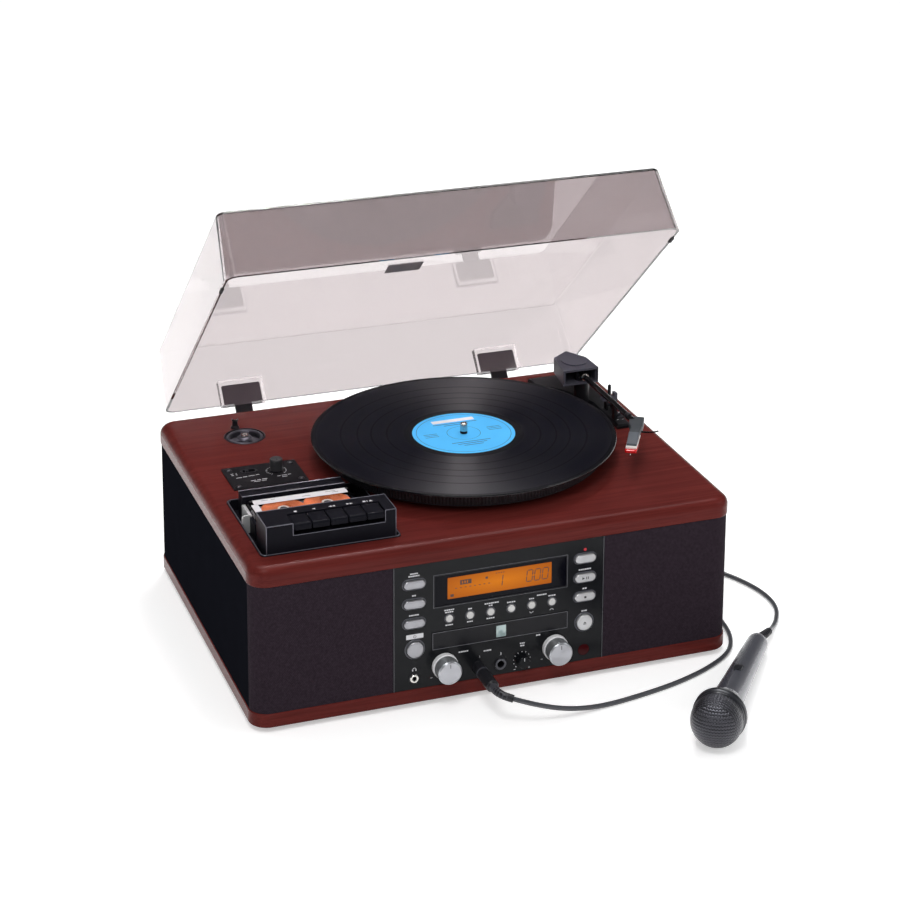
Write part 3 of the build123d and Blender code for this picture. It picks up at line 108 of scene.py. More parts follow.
def feed(tree, shader, outputs):
    """Link outputs into a shader's inputs by name."""
    for key, output in outputs.items():
        tree.links.new(output, shader.inputs[key])


def new_finish(name, values):
    """A material with constant values on its own shader, and the tree that more nodes go into."""
    made = bpy.data.materials.new(name)
    made.use_nodes = True
    shader = made.node_tree.nodes["Principled BSDF"]
    for key, value in values.items():
        shader.inputs[key].default_value = value
    return made, made.node_tree, shader


def seen_white(tree):
    """One where the camera, a mirror or a clear piece looks, and nought where light falls."""
    path = node(tree, "LightPath")
    looked_at = math(tree, "MAXIMUM", path.outputs["Is Camera Ray"], path.outputs["Is Glossy Ray"])
    return math(tree, "MAXIMUM", looked_at, path.outputs["Is Transmission Ray"])


floor_paint, tree, paint = new_finish("floor_paint",
                                      {"Base Color": (0.9, 0.9, 0.9, 1), "Roughness": 0.8,
                                       "Specular IOR Level": 0.0, "Emission Color": (1, 1, 1, 1)})
floor_lift, floor_reach = 0.42, 9
feed(tree, paint, {"Emission Strength": math(tree, "MULTIPLY", seen_white(tree), floor_lift)})
plane = bpy.data.meshes.new("floor")
corners = [(floor_reach * x, floor_reach * y, 0) for x, y in ((-1, -1), (1, -1), (1, 1), (-1, 1))]
plane.from_pydata(corners, [], [(0, 1, 2, 3)])
plane.materials.append(floor_paint)
floor = bpy.data.objects.new("floor", plane)
scene.collection.objects.link(floor)

world = bpy.data.worlds.new("sky")
scene.world = world
world.use_nodes = True
sky = world.node_tree.nodes["Background"]
sky.inputs["Color"].default_value = (1, 1, 1, 1)
tree = world.node_tree
sky_light, sky_seen = 0.56, 1.0
overhead_way, front_way, box_edge = (0.09, 0.24, 0.966), (-0.28, -0.58, 0.765), (0.9, 0.97)
studio_dim, overhead_light, front_light, horizon_light = 0.05, 7.0, 1.0, 0.5
level = ranged(tree, seen_white(tree), (0.0, 1.0), (sky_light, sky_seen))
heading = node(tree, "TexCoord").outputs["Generated"]
overhead = vector_math(tree, "DOT_PRODUCT", heading, overhead_way)
softbox = ranged(tree, overhead, box_edge, (studio_dim, overhead_light), "SMOOTHSTEP")
height = math(tree, "ABSOLUTE", node(tree, "SeparateXYZ", {0: heading}).outputs["Z"])
horizon = ranged(tree, height, (0.1, 0.3), (horizon_light, 0.0), "SMOOTHSTEP")
ahead = vector_math(tree, "DOT_PRODUCT", heading, front_way)
front_box = ranged(tree, ahead, box_edge, (0.0, front_light), "SMOOTHSTEP")
boxes = math(tree, "MAXIMUM", softbox, front_box)
studio = math(tree, "MAXIMUM", boxes, horizon)
mirrored = math(tree, "MINIMUM", node(tree, "LightPath").outputs["Glossy Depth"], 1.0)
level = node(tree, "Mix", {0: mirrored, 2: level, 3: studio}).outputs[0]
feed(tree, sky, {"Strength": level})
aim = Vector((0, 0, 0.15))


def lamp(name, place, size, watts):
    """Add a square soft lamp at a place, turned to the middle of the machine."""
    light = bpy.data.lights.new(name, "AREA")
    light.shape, light.size, light.energy = "SQUARE", size, watts
    holder = bpy.data.objects.new(name, light)
    scene.collection.objects.link(holder)
    holder.location = place
    holder.rotation_euler = (aim - Vector(place)).to_track_quat("-Z", "Y").to_euler()


lamp("key_lamp", (-0.75, -1.5, 2.7), 0.9, 24)
lamp("fill_lamp", (2.2, -1.4, 1.4), 1.4, 10)
lamp("rear_lamp", (0.45, 1.2, 2.5), 0.4, 20)

# ------------------------------------------------------------------ boards
# Top and bottom boards of fibreboard under a reddish cherry veneer, lacquered satin. The grain runs
# from side to side, and the edges are veneered too.
def span(name):
    """Lowest and highest corner of a CAD node, in millimetres."""
    low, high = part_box(name)
    return np.array(low) * 1000, np.array(high) * 1000


def dress(finish, *names):
    """Give CAD nodes a finish."""
    for name in names:
        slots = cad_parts[name].data.materials
        for place in range(len(slots)):
            slots[place] = finish


def mixed(tree, kind, amount, first, second):
    """Colour that goes from the first to the second by an amount, in one of the blend modes."""
    return node(tree, "Mix", {0: amount, 6: first, 7: second}, data_type="RGBA",
                blend_type=kind).outputs[2]


def noise(tree, place, scale, detail, **more):
    """Cloudy noise at a place, about a half in the mean."""
    return node(tree, "TexNoise", {"Vector": place, "Scale": scale, "Detail": detail,
                                   **more}).outputs["Fac"]


def ramp(tree, amount, first, second, ends=(0.0, 1.0)):
    """Colour that is the first up to one end of a range and the second from its other end on."""
    made = node(tree, "ValToRGB", {"Fac": amount})
    for stop, colour, position in zip(made.color_ramp.elements, (first, second), ends):
        stop.color = colour
        stop.position = position
    return made.outputs["Color"]


def bump(tree, height, strength, distance):
    """Normal of a surface raised by a height times a distance in metres."""
    return node(tree, "Bump", {"Height": height, "Strength": strength, "Distance": distance}).outputs[0]


veneer, tree, lacquer = new_finish("cherry_veneer", {"Roughness": 0.27, "Specular IOR Level": 0.07})
place = node(tree, "TexCoord").outputs["Object"]
broad = node(tree, "Mapping", {"Vector": place, "Scale": (7.0, 150.0, 150.0)}).outputs[0]
figure = noise(tree, broad, 1.0, 7.0, Distortion=0.5)
tones = ramp(tree, figure, shade(88, 32, 29), shade(104, 41, 37), (0.3, 0.72))
close = node(tree, "Mapping", {"Vector": place, "Scale": (22.0, 900.0, 900.0)}).outputs[0]
fibre = noise(tree, close, 1.0, 2.0)
pores = ranged(tree, fibre, (0.3, 0.56), (0.8, 1.0))
feed(tree, lacquer, {"Base Color": mixed(tree, "MULTIPLY", 1.0, tones, pores),
                     "Normal": bump(tree, fibre, 0.25, 0.00006)})
dress(veneer, "top_board", "bottom_board")

# ------------------------------------------------------------------ side and rear panels, feet
# The sides are board under a black grained film. The rear is dark hardboard with vent slots, held by
# screws, with two line-out sockets and the mains inlet. The feet are moulded rubber.
def drift_group():
    """Colour and gloss times a slow noise, and a normal from a fine one: what any moulded or painted
    skin shows."""
    group = bpy.data.node_groups.new("surface_drift", "ShaderNodeTree")
    for name, kind, value in (("Colour", "Color", (0.5, 0.5, 0.5, 1)), ("Roughness", "Float", 0.5),
                              ("Drift", "Float", 0.1), ("Grain", "Float", 2500.0),
                              ("Depth", "Float", 0.00001)):
        group.interface.new_socket(name, in_out="INPUT",
                                   socket_type="NodeSocket" + kind).default_value = value
    for name, kind in (("Colour", "Color"), ("Roughness", "Float"), ("Normal", "Vector")):
        group.interface.new_socket(name, in_out="OUTPUT", socket_type="NodeSocket" + kind)
    given = group.nodes.new("NodeGroupInput").outputs
    sent = group.nodes.new("NodeGroupOutput").inputs
    place = node(group, "TexCoord").outputs["Object"]
    cloud = noise(group, place, 38.0, 4.0)
    grit = noise(group, place, given["Grain"], 1.0)
    swing = ranged(group, cloud, (0.3, 0.7), (-1.0, 1.0))
    part = math(group, "MULTIPLY_ADD", swing, given["Drift"], 1.0)
    group.links.new(mixed(group, "MULTIPLY", 1.0, given["Colour"], part), sent["Colour"])
    group.links.new(math(group, "MULTIPLY", given["Roughness"], part), sent["Roughness"])
    group.links.new(bump(group, grit, 1.0, given["Depth"]), sent["Normal"])
    return group


surface_drift = drift_group()


def moulded(name, colour, roughness, drift=0.12, grain=2500.0, depth=0.00001, values=None):
    """A material with the drifting skin in its colour, its gloss and its normal."""
    made, tree, shader = new_finish(name, values or {})
    skin = node(tree, "Group", {"Colour": colour, "Roughness": roughness, "Drift": drift,
                                "Grain": grain, "Depth": depth}, node_tree=surface_drift).outputs
    feed(tree, shader, {"Base Color": skin["Colour"], "Roughness": skin["Roughness"],
                        "Normal": skin["Normal"]})
    return made


def link_up(name, points, faces, finish, body):
    """A piece from points in millimetres: doubled points merged, faces turned outward, edges over 35
    degrees sharp."""
    mesh = bpy.data.meshes.new(name)
    mesh.from_pydata((np.asarray(points, float) / 1000).tolist(), [], faces)
    shape = bmesh.new()
    shape.from_mesh(mesh)
    bmesh.ops.remove_doubles(shape, verts=shape.verts, dist=2e-7)
    bmesh.ops.recalc_face_normals(shape, faces=shape.faces)
    shape.to_mesh(mesh)
    shape.free()
    mesh.shade_smooth()
    mesh.set_sharp_from_angle(angle=np.radians(35))
    mesh.materials.append(finish)
    piece = bpy.data.objects.new(name, mesh)
    scene.collection.objects.link(piece)
    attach(piece, body)
    return piece


def skin_over(name, rings, finish, body, capped=True):
    """A surface through rings of points, each joined to the next; capped ends close on the middle of
    their ring."""
    rings = np.asarray(rings, float)
    if capped:
        first, last = (np.broadcast_to(rings[end].mean(0), rings[end].shape) for end in (0, -1))
        rings = np.concatenate([[first], rings, [last]])
    rows, columns = rings.shape[:2]
    down, over = np.meshgrid(np.arange(rows - 1), np.arange(columns), indexing="ij")
    beside = (over + 1) % columns
    faces = [down * columns + over, down * columns + beside, (down + 1) * columns + beside,
             (down + 1) * columns + over]
    return link_up(name, rings.reshape(-1, 3), np.stack(faces, -1).reshape(-1, 4).tolist(), finish,
                   body)


def hoop(name, rings, finish, body):
    """A surface through rings of points, with the last joined to the first."""
    return skin_over(name, [*rings, rings[0]], finish, body, capped=False)


def turned(name, profile, centre, axis, finish, body, sides=64):
    """A turned solid: centre + height * axis + radius * (cos a, sin a), for the profile's (radius,
    height)."""
    radius, height = np.array(profile, float).T[:, :, None, None]
    axis = np.array(axis, float) / np.linalg.norm(axis)
    across = np.cross(axis, (0.0, 0.0, 1.0) if abs(axis[2]) < 0.9 else (1.0, 0.0, 0.0))
    across /= np.linalg.norm(across)
    angle = np.linspace(0, 2 * np.pi, sides, endpoint=False)[None, :, None]
    spoke = np.cos(angle) * across + np.sin(angle) * np.cross(axis, across)
    rings = np.array(centre, float) + height * axis + radius * spoke
    return skin_over(name, rings, finish, body, capped=radius[0, 0, 0] == 0)


forward, rearward, skyward = (0, -1, 0), (0, 1, 0), (0, 0, 1)


def plates(name, outlines, lie, thick, finish, body, bevel=0.0):
    """Plates cut to outlines: (a, b) stands at origin + a * across + b * upward, and again a thickness
    further out."""
    origin, across, upward = (np.array(v, float) for v in lie)
    points, faces, start = [], [], 0
    for outline in outlines:
        outline = np.asarray(outline, float)
        flat = origin + outline @ np.array([across, upward])
        points += [flat, flat + thick * np.cross(across, upward)]
        ring, count = np.arange(len(flat)), len(flat)
        after = (ring + 1) % count
        faces += [(start + ring[::-1]).tolist(), (start + count + ring).tolist()]
        faces += (start + np.stack([ring, after, after + count, ring + count], 1)).tolist()
        start += 2 * count
    piece = link_up(name, np.concatenate(points), faces, finish, body)
    if bevel:
        edge = piece.modifiers.new("edge", "BEVEL")
        edge.width, edge.segments, edge.limit_method = bevel / 1000, 2, "ANGLE"
    return piece


def disc(radius, middle=(0, 0), count=32):
    """Points of a circle."""
    angle = np.linspace(0, 2 * np.pi, count, endpoint=False)
    return np.array(middle) + radius * np.stack([np.cos(angle), np.sin(angle)], 1)


def rounded(wide, high, radius, middle=(0, 0), count=6):
    """Points of a rectangle with rounded corners: a quarter circle about each corner's centre."""
    angle = np.linspace(0, np.pi / 2, count)
    arcs = [np.array(middle) + (sx * (wide / 2 - radius), sy * (high / 2 - radius))
            + radius * np.stack([np.cos(angle + start), np.sin(angle + start)], 1)
            for sx, sy, start in ((1, 1, 0), (-1, 1, np.pi / 2), (-1, -1, np.pi), (1, -1, 1.5 * np.pi))]
    return np.concatenate(arcs)


grained_film = moulded("grained_film", shade(23, 24, 30), 0.7, 0.06, 1300.0, 0.00002,
                       {"Specular IOR Level": 0.0})
hardboard = moulded("dark_hardboard", shade(24, 23, 24), 0.7, 0.1, 900.0, 0.00003,
                    {"Specular IOR Level": 0.15})
# Besides the rubber parts, this black stands as painted shade in the rear screws' slots and the
# microphone switch's groove.
rubber_black_and_shade = moulded("rubber_black_and_shade", shade(22, 22, 23), 0.75, 0.15, 1500.0, 0.00004)
screw_steel = moulded("blackened_steel", shade(70, 70, 74), 0.35, 0.2, 3000.0, 0.000005,
                      {"Metallic": 1.0})
dress(grained_film, "side_panels")
dress(hardboard, "rear_panel")
dress(rubber_black_and_shade, "feet")

rear_low, rear_high = span("rear_panel")
case_high = span("side_panels")[1]
rear_y = case_high[1]
edge_x, low_z, high_z = rear_high[0] - 8, rear_low[2] + 8, rear_high[2] - 8
for number, (x, z) in enumerate([(-edge_x, low_z), (edge_x, low_z), (-edge_x, high_z), (edge_x, high_z),
                                 (0, low_z), (0, high_z)]):
    turned(f"rear_screw_{number}", [(0, 0.0), (3.6, 0.0), (3.4, 0.9), (2.2, 1.5), (0, 1.7)],
           (x, rear_y, z), rearward, screw_steel, "cabinet", 24)
    # The cross slots are dark plates on the heads: painted shade in the slots.
    cross = [rounded(3.2, 0.7, 0.1, (x, z)), rounded(0.7, 3.2, 0.1, (x, z))]
    plates(f"rear_screw_slot_painted_shade_{number}", cross, ((0, rear_y + 1.45, 0), (1, 0, 0), (0, 0, 1)), -0.3,
           rubber_black_and_shade, "cabinet")
socket_nickel = moulded("socket_nickel", shade(200, 198, 194), 0.2, 0.1, 2500.0, 0.000004,
                        {"Metallic": 1.0})
line_out_z = 60
for name, x, colour in (("red", -150, (170, 24, 26)), ("white", -132, (225, 224, 218))):
    seat, finish = (x, rear_y + 1.0, line_out_z), moulded(f"{name}_socket_ring", shade(*colour), 0.35)
    turned(f"line_out_{name}_ring", [(4.25, 0), (5.6, 0), (5.6, 2.0), (4.9, 3.0), (4.25, 3.0),
                                     (4.25, 0)], seat, rearward, finish, "cabinet", 40)
    turned(f"line_out_{name}_shell", [(4.2, 3.2), (4.45, 3.2), (4.45, 9.1), (4.2, 9.1), (4.2, 3.2)],
           seat, rearward, socket_nickel, "cabinet", 40)

# ------------------------------------------------------------------ loudspeakers and cloth
# Each loudspeaker stands behind a bare board with a round hole. A frame with dark woven cloth stretched
# over it covers the board and wraps the front corner of the case.
def weave_group():
    """Over and under threads: each thread's round profile times a cosine that its neighbour has half a
    turn later."""
    group = bpy.data.node_groups.new("plain_weave", "ShaderNodeTree")
    group.interface.new_socket("Threads", in_out="INPUT", socket_type="NodeSocketVector")
    for name in ("Height", "Gap"):
        group.interface.new_socket(name, in_out="OUTPUT", socket_type="NodeSocketFloat")
    given = group.nodes.new("NodeGroupInput").outputs
    sent = group.nodes.new("NodeGroupOutput").inputs
    split = node(group, "SeparateXYZ", {0: given["Threads"]}).outputs

    def thread(across, along, side):
        """Height of one set of threads: (1 - (2 frac - 1)^2) * (0.6 + 0.4 side cos(pi (along +
        floor(across))))."""
        part = math(group, "FRACT", across)
        off = math(group, "MULTIPLY_ADD", part, 2.0, -1.0)
        square = math(group, "MULTIPLY", off, off)
        bow = math(group, "SUBTRACT", 1.0, square)
        order = math(group, "FLOOR", across)
        turn = math(group, "ADD", along, order)
        angle = math(group, "MULTIPLY", turn, np.pi)
        wave = math(group, "COSINE", angle)
        lift = math(group, "MULTIPLY_ADD", wave, 0.4 * side, 0.6)
        return math(group, "MULTIPLY", bow, lift)

    higher = math(group, "MAXIMUM", thread(split[0], split[1], 1), thread(split[1], split[0], -1))
    group.links.new(higher, sent["Height"])
    group.links.new(ranged(group, higher, (0.16, 0.3), (1.0, 0.0)), sent["Gap"])
    return group


plain_weave = weave_group()
cloth, tree, yarn = new_finish("speaker_cloth", {"Roughness": 0.95, "Specular IOR Level": 0.1})
place = node(tree, "TexCoord").outputs["Object"]
threads_a_metre = 1250.0
stood = node(tree, "Mapping", {"Vector": place, "Rotation": (np.pi / 2, 0.0, 0.0),
                               "Scale": (threads_a_metre,) * 3}).outputs[0]
threads = node(tree, "Group", {"Threads": stood}, node_tree=plain_weave).outputs
slub = noise(tree, place, 500.0, 3.0)
fleck = ramp(tree, slub, shade(43, 34, 42), shade(55, 45, 54), (0.32, 0.7))
feed(tree, yarn, {"Base Color": mixed(tree, "MIX", threads["Gap"], fleck, shade(20, 15, 19)),
                  "Normal": bump(tree, threads["Height"], 0.5, 0.0002)})
bare_board = moulded("bare_fibreboard", shade(150, 118, 84), 0.85, 0.25, 700.0, 0.0001)
speaker_cone = moulded("speaker_cone", shade(30, 30, 31), 0.7, 0.2, 1200.0, 0.00005)
dress(cloth, "speaker_grilles")
dress(bare_board, "baffle")
dress(speaker_cone, "speakers")
dress(moulded("inner_works", shade(40, 84, 52), 0.5, 0.3, 600.0, 0.00005), "inner_works")

# ------------------------------------------------------------------ front panel
# One gloss black moulding in the middle of the front, with a raised bead down each side and round the
# openings of the buttons. Everything printed on it is white ink, apart from one red dot.
def ribbons(lines, wide):
    """Outlines of inked lines: each line's points moved half a width to both sides, along its mean
    normal."""
    made = []
    for line in lines:
        line = np.asarray(line, float)
        run = np.gradient(line, axis=0)
        sidewise = np.stack([-run[:, 1], run[:, 0]], 1) / np.linalg.norm(run, axis=1)[:, None]
        made.append(np.concatenate([line + sidewise * wide / 2, (line - sidewise * wide / 2)[::-1]]))
    return made


def arc(radius, start, end, middle=(0, 0), count=16):
    """Points of an arc between two angles in degrees."""
    angle = np.radians(np.linspace(start, end, count))
    return np.array(middle) + radius * np.stack([np.cos(angle), np.sin(angle)], 1)


def shifted(outlines, places):
    """The outlines again at each place."""
    return [np.asarray(outline) + place for place in places for outline in outlines]


gloss_black = moulded("gloss_black", shade(21, 22, 25), 0.2, 0.06, 900.0, 0.000002,
                      {"Specular IOR Level": 0.12})
white_ink = moulded("white_ink", shade(222, 222, 226), 0.5, 0.08, values={"Specular IOR Level": 0.1})
red_ink = moulded("red_ink", shade(196, 30, 44), 0.5, 0.08)
dress(gloss_black, "front_panel")
panel_low, panel_high = span("front_panel")
front_y = panel_low[1]
facing = ((1, 0, 0), (0, 0, 1))


def front_plate(name, outlines, out, thick, finish, body="cabinet", bevel=0.0):
    """Plates that lie on the front panel, some way out from it."""
    return plates(name, outlines, ((0, front_y - out, 0), *facing), thick, finish, body, bevel)


def middle_of(name):
    """Middle of a node's front, as x and z."""
    low, high = span(name)
    return (low[::2] + high[::2]) / 2


def upright(outline, y):
    """An outline of x and z, stood up at a y."""
    return np.stack([outline[:, 0], np.full(len(outline), y), outline[:, 1]], 1)


sides_x = panel_high[0] - 0.9
bead = [rounded(0.8, panel_high[2] - panel_low[2], 0.3, (x, (panel_high[2] + panel_low[2]) / 2), 3)
        for x in (-sides_x, sides_x)]
# The side beads are a lighter grey than the panel: a painted highlight along each seam.
front_plate("panel_side_beads", bead, 0, 0.5, moulded("painted_seam_highlight", shade(62, 62, 68), 0.3), bevel=0.15)

pills = [f"source_button_{row}" for row in ("upper", "middle", "lower")]
pills += ["record_button", "play_pause_button", "stop_button"]
small = [f"{name}_button" for name in ("mode", "memory", "search", "clock", "skip_back",
                                       "skip_forward")]
rounds = ["power_button", "tray_eject_button"]
satin_black = moulded("satin_black", shade(26, 26, 31), 0.4, 0.08, 2500.0, 0.00001,
                      {"Specular IOR Level": 0.2})
rim_grey = moulded("rim_grey", shade(74, 75, 82), 0.3, 0.06, 2500.0, 0.000004)
rims = [rounded(23.4, 11.4, 5.7, middle_of(name), 8) for name in pills]
rims += [disc(9.9, middle_of(name), 40) for name in rounds]
rims += [disc(4.9, middle_of(name)) for name in small]
wells = [rounded(20.7, 8.7, 4.35, middle_of(name), 8) for name in pills]
wells += [disc(8.3, middle_of(name), 40) for name in rounds]
wells += [disc(3.85, middle_of(name)) for name in small]
for number, (outer, inner) in enumerate(zip(rims, wells)):
    crest = outer + (inner - outer) * 0.35
    steps = ((outer, 0.02), (crest, 0.75), (outer + (inner - outer) * 0.7, 0.7), (inner, 0.1),
             (inner, -1.0))
    hoop(f"button_rim_{number}", [upright(line, front_y - out) for line, out in steps], rim_grey,
         "cabinet")

# ------------------------------------------------------------------ buttons
# Moulded caps with a satin silver coat, printed in black with the plain signs for play, pause, stop and
# eject. The chevrons under the two skip buttons, the dot over the record button and the rest are on the
# panel.
silver_coat = moulded("silver_coat", shade(150, 150, 155), 0.3, 0.06, 4000.0, 0.000004,
                      {"Metallic": 0.55})
# Besides print, this black stands as painted shade in screw slots, the rear bar's notch and the
# cassette hubs' holes.
black_ink_and_shade = moulded("black_ink_and_shade", shade(20, 20, 22), 0.5, 0.08)
silver_light = moulded("silver_light", shade(196, 196, 198), 0.3, 0.06, 4000.0, 0.000004,
                       {"Metallic": 0.4})
button_white = moulded("button_white", shade(208, 207, 206), 0.35, 0.04, 4000.0, 0.000004)
dress(silver_coat, *pills[:3], "power_button")
dress(silver_light, *pills[3:], "tray_eject_button")
dress(button_white, *small)
signs = {"play_pause_button": [[(-3.4, -1.3), (-0.6, 0), (-3.4, 1.3)],
                               rounded(0.8, 2.6, 0.1, (1.0, 0), 2),
                               rounded(0.8, 2.6, 0.1, (2.7, 0), 2)],
         "stop_button": [rounded(2.2, 2.2, 0.1, (0, 0), 2)],
         "tray_eject_button": [[(-1.6, -0.5), (1.6, -0.5), (0, 1.3)],
                               rounded(3.2, 0.6, 0.1, (0, -1.3), 2)]}
for name, outlines in signs.items():
    cap_y = span(name)[0][1]
    plates(f"{name}_sign", shifted(outlines, [middle_of(name)]), ((0, cap_y, 0), *facing), 0.04,
           black_ink_and_shade, name)
for name in pills + rounds:
    low, high = span(name)
    wide, tall = (high - low)[::2] - 3.0
    face = rounded(wide, tall, tall / 2 - 0.01, middle_of(name), 10)
    inner = (face - middle_of(name)) * 0.96 + middle_of(name)
    steps = ((face, 0.01), (inner, 0.12), (inner, 0.02))
    finish = silver_coat if name in pills[:3] + ["power_button"] else silver_light
    hoop(f"{name}_bead", [upright(line, low[1] - out) for line, out in steps], finish, name)

chevron = ribbons([[(-1.9, 0.8), (0, -0.8), (1.9, 0.8)]], 0.5)
chevron_drop = (0, 7.6)
chevrons = shifted(chevron, [middle_of("skip_back_button") - chevron_drop])
chevrons += shifted([chevron[0] * (1, -1)], [middle_of("skip_forward_button") - chevron_drop])
front_plate("chevrons", chevrons, 0, 0.04, white_ink)
front_plate("record_dot", [disc(1.5, middle_of("record_button") + (0, 8.6))], 0, 0.04, red_ink)
label_at = middle_of("power_button") + (0, 12.8)
front_plate("power_label", [rounded(16.6, 4.6, 0.5, label_at)], 0, 0.05, white_ink)
power_sign = ribbons([arc(1.3, 125, 415), [(0, 0.3), (0, 1.7)]], 0.42)
front_plate("power_sign", shifted(power_sign, [label_at - (0, 0.15)]), 0.05, 0.03, black_ink_and_shade)


def strokes(middle, widths, high=1.3, apart=0.45):
    """A row of small printed blocks centred on a point, one for each width."""
    ends = np.cumsum(np.array(widths) + apart)
    starts = ends - widths - apart - (ends[-1] - apart) / 2
    return [rounded(wide, high, 0.12, np.array(middle) + (start + wide / 2, 0), 2)
            for start, wide in zip(starts, widths)]


print_rows = strokes(middle_of(pills[0]) + (0, 10.3), (1.6, 1.4, 1.6, 1.4))
print_rows += strokes(middle_of(pills[0]) + (0, 8.0), (1.5, 1.3, 1.6, 1.2, 1.5, 1.3))
for name, widths in ((pills[1], (1.6, 1.6)), (pills[2], (1.4, 1.8, 1.2, 1.5, 1.6)),
                     (pills[4], (1.6, 1.8, 1.4, 1.7, 1.9, 1.6)), (pills[5], (1.8, 1.9))):
    print_rows += strokes(middle_of(name) + (0, 8.0), widths)
print_rows += strokes(middle_of("tray_eject_button") + (0, 11.4), (1.6, 1.2, 1.8))
rows_up = {"mode": (1.8, 1.5, 1.9, 1.6), "memory": (1.6, 1.8), "search": (1.5, 1.8),
           "clock": (1.6, 1.8, 1.9, 1.6),
           "skip_back": (1.4, 1.2, 1.5), "skip_forward": (1.6, 1.2, 1.4, 1.6)}
for name, widths in rows_up.items():
    print_rows += strokes(middle_of(f"{name}_button") + (0, 6.2), widths, 1.2, 0.4)
print_rows += strokes(middle_of("mode_button") + (0, 8.4), (1.7, 1.5, 1.9, 1.2, 1.6), 1.2, 0.4)
print_rows += strokes(middle_of("search_button") + (1.0, 8.4), (1.8, 1.5, 1.7, 1.9, 1.2, 1.6, 1.8), 1.2,
                      0.4)
print_rows += strokes((middle_of("skip_back_button") + middle_of("skip_forward_button")) / 2 + (0, 8.6),
                      (1.6, 1.8, 1.2, 1.9, 1.4), 1.2, 0.4)
for name, widths in (("mode", (1.6, 1.2, 1.8, 1.5)), ("memory", (1.6, 1.8, 1.3)),
                     ("search", (1.8, 1.6, 1.4, 1.8))):
    print_rows += strokes(middle_of(f"{name}_button") - (0, 6.6), widths, 1.2, 0.4)
for x, z, widths in ((-35.6, 48.6, (1.8, 1.9, 1.4, 1.2, 1.5)), (-12.0, 45.6, (1.3, 1.2, 1.8, 1.9)),
                     (22.6, 47.0, (1.3, 1.2, 1.5)), (22.6, 44.6, (1.8, 1.9)), (38.4, 52.6, (1.8, 1.9))):
    print_rows += strokes((x, z), widths, 1.3, 0.4)
front_plate("panel_print", print_rows, 0, 0.03, white_ink)

# ------------------------------------------------------------------ display
# A black frame in a recess of the panel, a clear window over it, and an amber backlit liquid crystal
# with dark segments behind the window.
amber_glow, tree, glow = new_finish("amber_crystal", {"Base Color": shade(20, 10, 2), "Roughness": 0.25,
                                                      "Specular IOR Level": 0.1,
                                                      "Emission Strength": 1.0})
place = node(tree, "TexCoord").outputs["Object"]
lcd_low, lcd_high = np.array([-51.3, 103.5]), np.array([51.0, 124.6])
lcd_mid = (lcd_low + lcd_high) / 2
glow_half = (51, 10.5)
centred = node(tree, "Mapping", {"Vector": place,
                                 "Location": (-lcd_mid[0] / glow_half[0], 0.0,
                                              -lcd_mid[1] / glow_half[1]),
                                 "Scale": (1000 / glow_half[0], 0.0, 1000 / glow_half[1])})
spot = vector_math(tree, "LENGTH", centred.outputs[0])
lit = ramp(tree, math(tree, "MULTIPLY", spot, 0.7), shade(212, 119, 8), shade(168, 82, 3))
feed(tree, glow, {"Emission Color": lit})
smoked = moulded("smoked_window", shade(10, 10, 18), 0.08, 0.05, 500.0, 0.000001,
                 {"Specular IOR Level": 0.08})
dress(smoked, "front_windows")
window_y = span("front_windows")[0][1]
frame_mid = np.array([1.0, 113.0])
outer, inner = rounded(131.3, 31.8, 0.6, frame_mid, 3), rounded(129.4, 29.9, 0.4, frame_mid, 3)
steps = ((outer, -0.05), (outer, 0.35), (inner, 0.3), (inner, -0.5))
rings = [upright(line, front_y - out) for line, out in steps]
hoop("display_frame", rings, satin_black, "cabinet")
# Thin light grey bars round the display recess and just inside the tray's front: a painted highlight on
# their edges.
painted_outline_highlight = moulded("painted_outline_highlight", shade(86, 86, 92), 0.35, 0.1, 2500.0, 0.000004)


def outline(low, high, wide):
    """Four thin bars along the sides of an upright box, each centred on its side."""
    middle, size = (low + high) / 2, high - low
    level = [rounded(size[0] + wide, wide, wide * 0.3, (middle[0], at), 2) for at in (low[1], high[1])]
    return level + [rounded(wide, size[1] - wide - 0.04, wide * 0.3, (at, middle[1]), 2)
                    for at in (low[0], high[0])]


around = np.array(rings)[..., ::2].reshape(-1, 2)
front_plate("display_outline", outline(around.min(0) - 0.3, around.max(0) + 0.3, 0.45), 0, 0.06,
            painted_outline_highlight)
plates("display_crystal", [rounded(*(lcd_high - lcd_low), 0.5, lcd_mid, 3)],
       ((0, window_y - 0.02, 0), *facing), 0.05, amber_glow, "cabinet")


def seven(on, wide=5.6, high=11.2, bar=0.9, slant=0.1):
    """Bars of a seven-segment sign, numbered from the top clockwise with the middle one last."""
    ends = [((0, 1), (1, 1)), ((1, 1), (1, 0)), ((1, 0), (1, -1)), ((0, -1), (1, -1)),
            ((0, 0), (0, -1)), ((0, 1), (0, 0)), ((0, 0), (1, 0))]
    made = []
    for number in on:
        start, end = (np.array(point) * (wide, high / 2) - (wide / 2, 0) for point in ends[number])
        run = (end - start) / np.linalg.norm(end - start)
        beside = np.array([-run[1], run[0]]) * bar / 2
        start, end = start + run * 0.25, end - run * 0.25
        nib = run * bar / 2
        bar_line = np.array([start, start + nib - beside, end - nib - beside, end, end - nib + beside,
                             start + nib + beside])
        made.append(bar_line + np.stack([bar_line[:, 1] * slant, bar_line[:, 0] * 0], 1))
    return made


